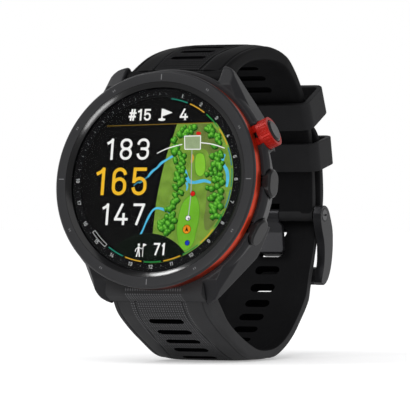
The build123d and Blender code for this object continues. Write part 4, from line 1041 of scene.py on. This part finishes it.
# ring of hole numbers, dots between them, and the score arcs
nums, dots = [], []
for n in range(1, 19):
    t_ = 15.0 * n - 0.4
    a_ = math.radians(t_)
    er, et = np.array([math.sin(a_), math.cos(a_)]), np.array([math.cos(a_), -math.sin(a_)])
    txt = str(n)
    wide = [0.26 if c == "1" else 0.52 for c in txt]
    total = sum(wide) + 0.16 * (len(txt) - 1)
    turn = t_ if n <= 7 else t_ - 180
    sgn = 1 if n <= 7 else -1
    at = -total / 2
    for c, w_c in zip(txt, wide):
        mid = er * 18.38 + et * sgn * (at + w_c / 2)
        nums.append((c, mid[0] - w_c / 2, mid[0] + w_c / 2, mid[1] - 0.40, mid[1] + 0.40, turn))
        at += w_c + 0.16
    if n < 18:
        dots.append(bar(18.35, t_ + 7.5, 0.22, 0.13))
write("ring_numbers", nums, "soft", 0.13)
many("lcd_ring_dots", dots, Z["text"], Z["text"] - 0.008, G["dim"])
minute = [bar(18.35, a_, 0.26 if k % 2 else 0.5, 0.11) for k, a_ in enumerate(np.arange(277.0, 367.0, 4.5))]
many("lcd_ring_scale", minute, Z["text"], Z["text"] - 0.008, G["dim"])
seg = {1: "teal", 2: "amber", 3: "green", 4: "amber", 5: "sky", 6: "teal", 7: "sky", 8: "green", 9: "amber", 10: "green",
       11: "amber", 12: "green", 13: "amber", 14: "teal"}
for key in ("teal", "amber", "green", "sky"):
    lay("score_" + key, [ring_arc(17.27, 17.52, 15 * n - 8.0, 15 * n + 5.0) for n, c in seg.items() if c == key], key, "text")
r0, r1, s0, s1 = 17.15, 17.95, 217.2, 231.6
lay("score_now", [ring_arc(r1 - 0.13, r1, s0, s1), ring_arc(r0, r0 + 0.13, s0, s1), ring_arc(r0, r1, s0, s0 + 0.45, 4),
                  ring_arc(r0, r1, s1 - 0.45, s1, 4)], "soft", "text")

# ------------------------------------------------------------------ CAD nodes that carry over, with their edges softened
look = {
    "case_body": ("case", 0.00016, 6), "rear_cover": ("rear", 0.00010, 3), "sensor_window": ("window", 0.00008, 4),
    "top_button": ("key", 0.00006, 3), "middle_button": ("key", 0.00006, 3), "lower_button": ("key", 0.00006, 3),
    "top_button_collar": ("collar", 0.00005, 2), "upper_keeper": ("keeper", 0.00010, 6), "lower_keeper": ("keeper", 0.00010, 6),
    "buckle_frame": ("buckle", 0.00008, 5), "buckle_tongue": ("buckle", 0.00007, 4), "upper_latch": ("steel", 0.00006, 2),
    "lower_latch": ("steel", 0.00006, 2), "buckle_screws": ("steel", 0.00005, 2), "rear_screws": ("steel", 0.00005, 2),
}
plain = {
    "upper_lug_pin": "steel", "lower_lug_pin": "steel", "buckle_bar": "steel", "upper_hook": "insert", "lower_hook": "insert",
    "charging_contacts": "gold", "rear_gasket": "seal", "main_board": "board", "board_shield": "shield", "battery": "cell",
    "vibration_motor": "steel", "display_flex": "flex", "gps_antenna": "gold", "inner_chassis": "chassis",
    "button_switches": "shield", "sensor_board": "board", "sensor_leds": "led",
}
for k in ("top", "middle", "lower"):
    plain[k + "_button_spring"] = "steel"
    plain[k + "_button_seal"] = "seal"
    plain[k + "_button_clip"] = "steel"


def paint(ob, mat):
    ob.data.materials.clear()
    ob.data.materials.append(mat)


for node, (mat, voxel, times) in look.items():
    ob = frame["nodes"][node]
    paint(ob, M[mat])
    weld = ob.modifiers.new("weld", "WELD")
    weld.merge_threshold = 0.000001
    re = ob.modifiers.new("soften", "REMESH")
    re.mode = "VOXEL"
    re.voxel_size = voxel
    re.use_smooth_shade = True
    sm = ob.modifiers.new("smooth", "SMOOTH")
    sm.factor = 0.5
    sm.iterations = times
for node, mat in plain.items():
    paint(frame["nodes"][node], M[mat])

# ------------------------------------------------------------------ floor, light, camera
sc = bpy.context.scene
sc.view_settings.view_transform = "Standard"
sc.view_settings.look = "None"

bpy.ops.mesh.primitive_plane_add(size=8, location=(0, 0, 0))
floor = bpy.context.object
floor.name = "floor"
fm = bpy.data.materials.new("floor_white")
fm.use_nodes = True
fb = fm.node_tree.nodes["Principled BSDF"]
fb.inputs["Roughness"].default_value = 0.9
fb.inputs["Specular IOR Level"].default_value = 0.0
fn = fm.node_tree.nodes.new("ShaderNodeTexNoise")
fn.inputs["Scale"].default_value = 3.0
fr = fm.node_tree.nodes.new("ShaderNodeValToRGB")
fr.color_ramp.elements[0].color = (0.80, 0.80, 0.80, 1)
fr.color_ramp.elements[1].color = (0.83, 0.83, 0.83, 1)
fm.node_tree.links.new(fn.outputs["Fac"], fr.inputs["Fac"])
fm.node_tree.links.new(fr.outputs["Color"], fb.inputs["Base Color"])
fm.node_tree.links.new(fr.outputs["Color"], fb.inputs["Emission Color"])
fb.inputs["Emission Strength"].default_value = 0.42
floor.data.materials.append(fm)

w = bpy.data.worlds.new("studio")
w.use_nodes = True
wt = w.node_tree.nodes.new("ShaderNodeTexCoord")
ws = w.node_tree.nodes.new("ShaderNodeSeparateXYZ")
w.node_tree.links.new(wt.outputs["Generated"], ws.inputs["Vector"])
wr = w.node_tree.nodes.new("ShaderNodeValToRGB")          # white walls, a duller ceiling
wr.color_ramp.elements[0].position, wr.color_ramp.elements[1].position = 0.25, 0.85
wr.color_ramp.elements[0].color = (1, 1, 1, 1)
wr.color_ramp.elements[1].color = (0.42, 0.42, 0.43, 1)
w.node_tree.links.new(ws.outputs["Z"], wr.inputs["Fac"])
w.node_tree.links.new(wr.outputs["Color"], w.node_tree.nodes["Background"].inputs["Color"])
w.node_tree.nodes["Background"].inputs["Strength"].default_value = 1.0
sc.world = w


def area(name, at, to, size, power, size_y=None):
    li = bpy.data.lights.new(name, "AREA")
    li.energy = power
    li.size = size
    if size_y:
        li.shape = "RECTANGLE"
        li.size_y = size_y
    ob = bpy.data.objects.new(name, li)
    sc.collection.objects.link(ob)
    ob.location = at
    d = Vector(to) - Vector(at)
    ob.rotation_euler = d.to_track_quat("-Z", "Y").to_euler()
    return ob


def glint(name, f0, f1, reach, radiance):
    """A strip seen only in reflections, laid where the bezel's inner slope mirrors it towards the front view."""
    beta = math.atan2(0.61, 1.08)
    view = np.array([math.sin(math.radians(25.3)), -math.cos(math.radians(25.3)), 0.0])
    ends = []
    for f_ in (f0, f1):
        a_ = math.radians(f_)
        rad = XV * math.sin(a_) + UV * math.cos(a_)
        n_ = -DV * math.cos(beta) - rad * math.sin(beta)
        out = 2 * (n_ @ view) * n_ - view
        ends.append(P0 + rad * 20.2 + out * reach)
    ends = np.array(ends)
    at = ends.mean(0)
    a_ = math.radians((f0 + f1) / 2)
    tgt_ = P0 + (XV * math.sin(a_) + UV * math.cos(a_)) * 20.2
    xa = Vector(ends[1] - ends[0]).normalized()
    za = Vector(at - tgt_).normalized()
    ya = za.cross(xa).normalized()
    xa = ya.cross(za).normalized()
    li = bpy.data.lights.new(name, "AREA")
    li.shape = "RECTANGLE"
    li.size = float(np.linalg.norm(ends[1] - ends[0])) / 1000
    li.size_y = reach * 0.10 / 1000
    li.energy = radiance * math.pi * li.size * li.size_y
    ob = bpy.data.objects.new(name, li)
    sc.collection.objects.link(ob)
    ob.location = at / 1000
    ob.rotation_euler = Matrix((xa, ya, za)).transposed().to_euler()
    ob.visible_camera = False
    ob.visible_diffuse = False
    print(name, at, li.size, li.energy)
    return ob


MID = (0.0, 0.0, 0.034)
area("key_light", (-0.35, -0.45, 0.65), MID, 0.4, 1.6)
glint("glint_high", 303, 327, 95.0, 48.0)
glint("glint_low", 158, 176, 260.0, 60.0)
sun = bpy.data.lights.new("sun", "SUN")
sun.energy = 1.15
sun.angle = 0.75
so = bpy.data.objects.new("sun", sun)
sc.collection.objects.link(so)
so.rotation_euler = Vector((-0.20, 0.60, -0.62)).to_track_quat("-Z", "Y").to_euler()

cam = bpy.data.cameras.new("camera")
cam.sensor_width = 36.0
cam.lens = 4.665 * 900.0 / 410.0 * 36.0
cam.clip_start, cam.clip_end = 0.05, 20.0
co = bpy.data.objects.new("camera", cam)
sc.collection.objects.link(co)
az = math.radians(25.3)
tgt = np.array([0.0, 0.0, 33.0]) + SHIFT
pos = tgt + 900.0 * np.array([math.sin(az), -math.cos(az), 0.0])
co.location = pos / 1000.0
co.rotation_euler = (Vector(tgt / 1000.0) - Vector(pos / 1000.0)).to_track_quat("-Z", "Y").to_euler()
sc.camera = co
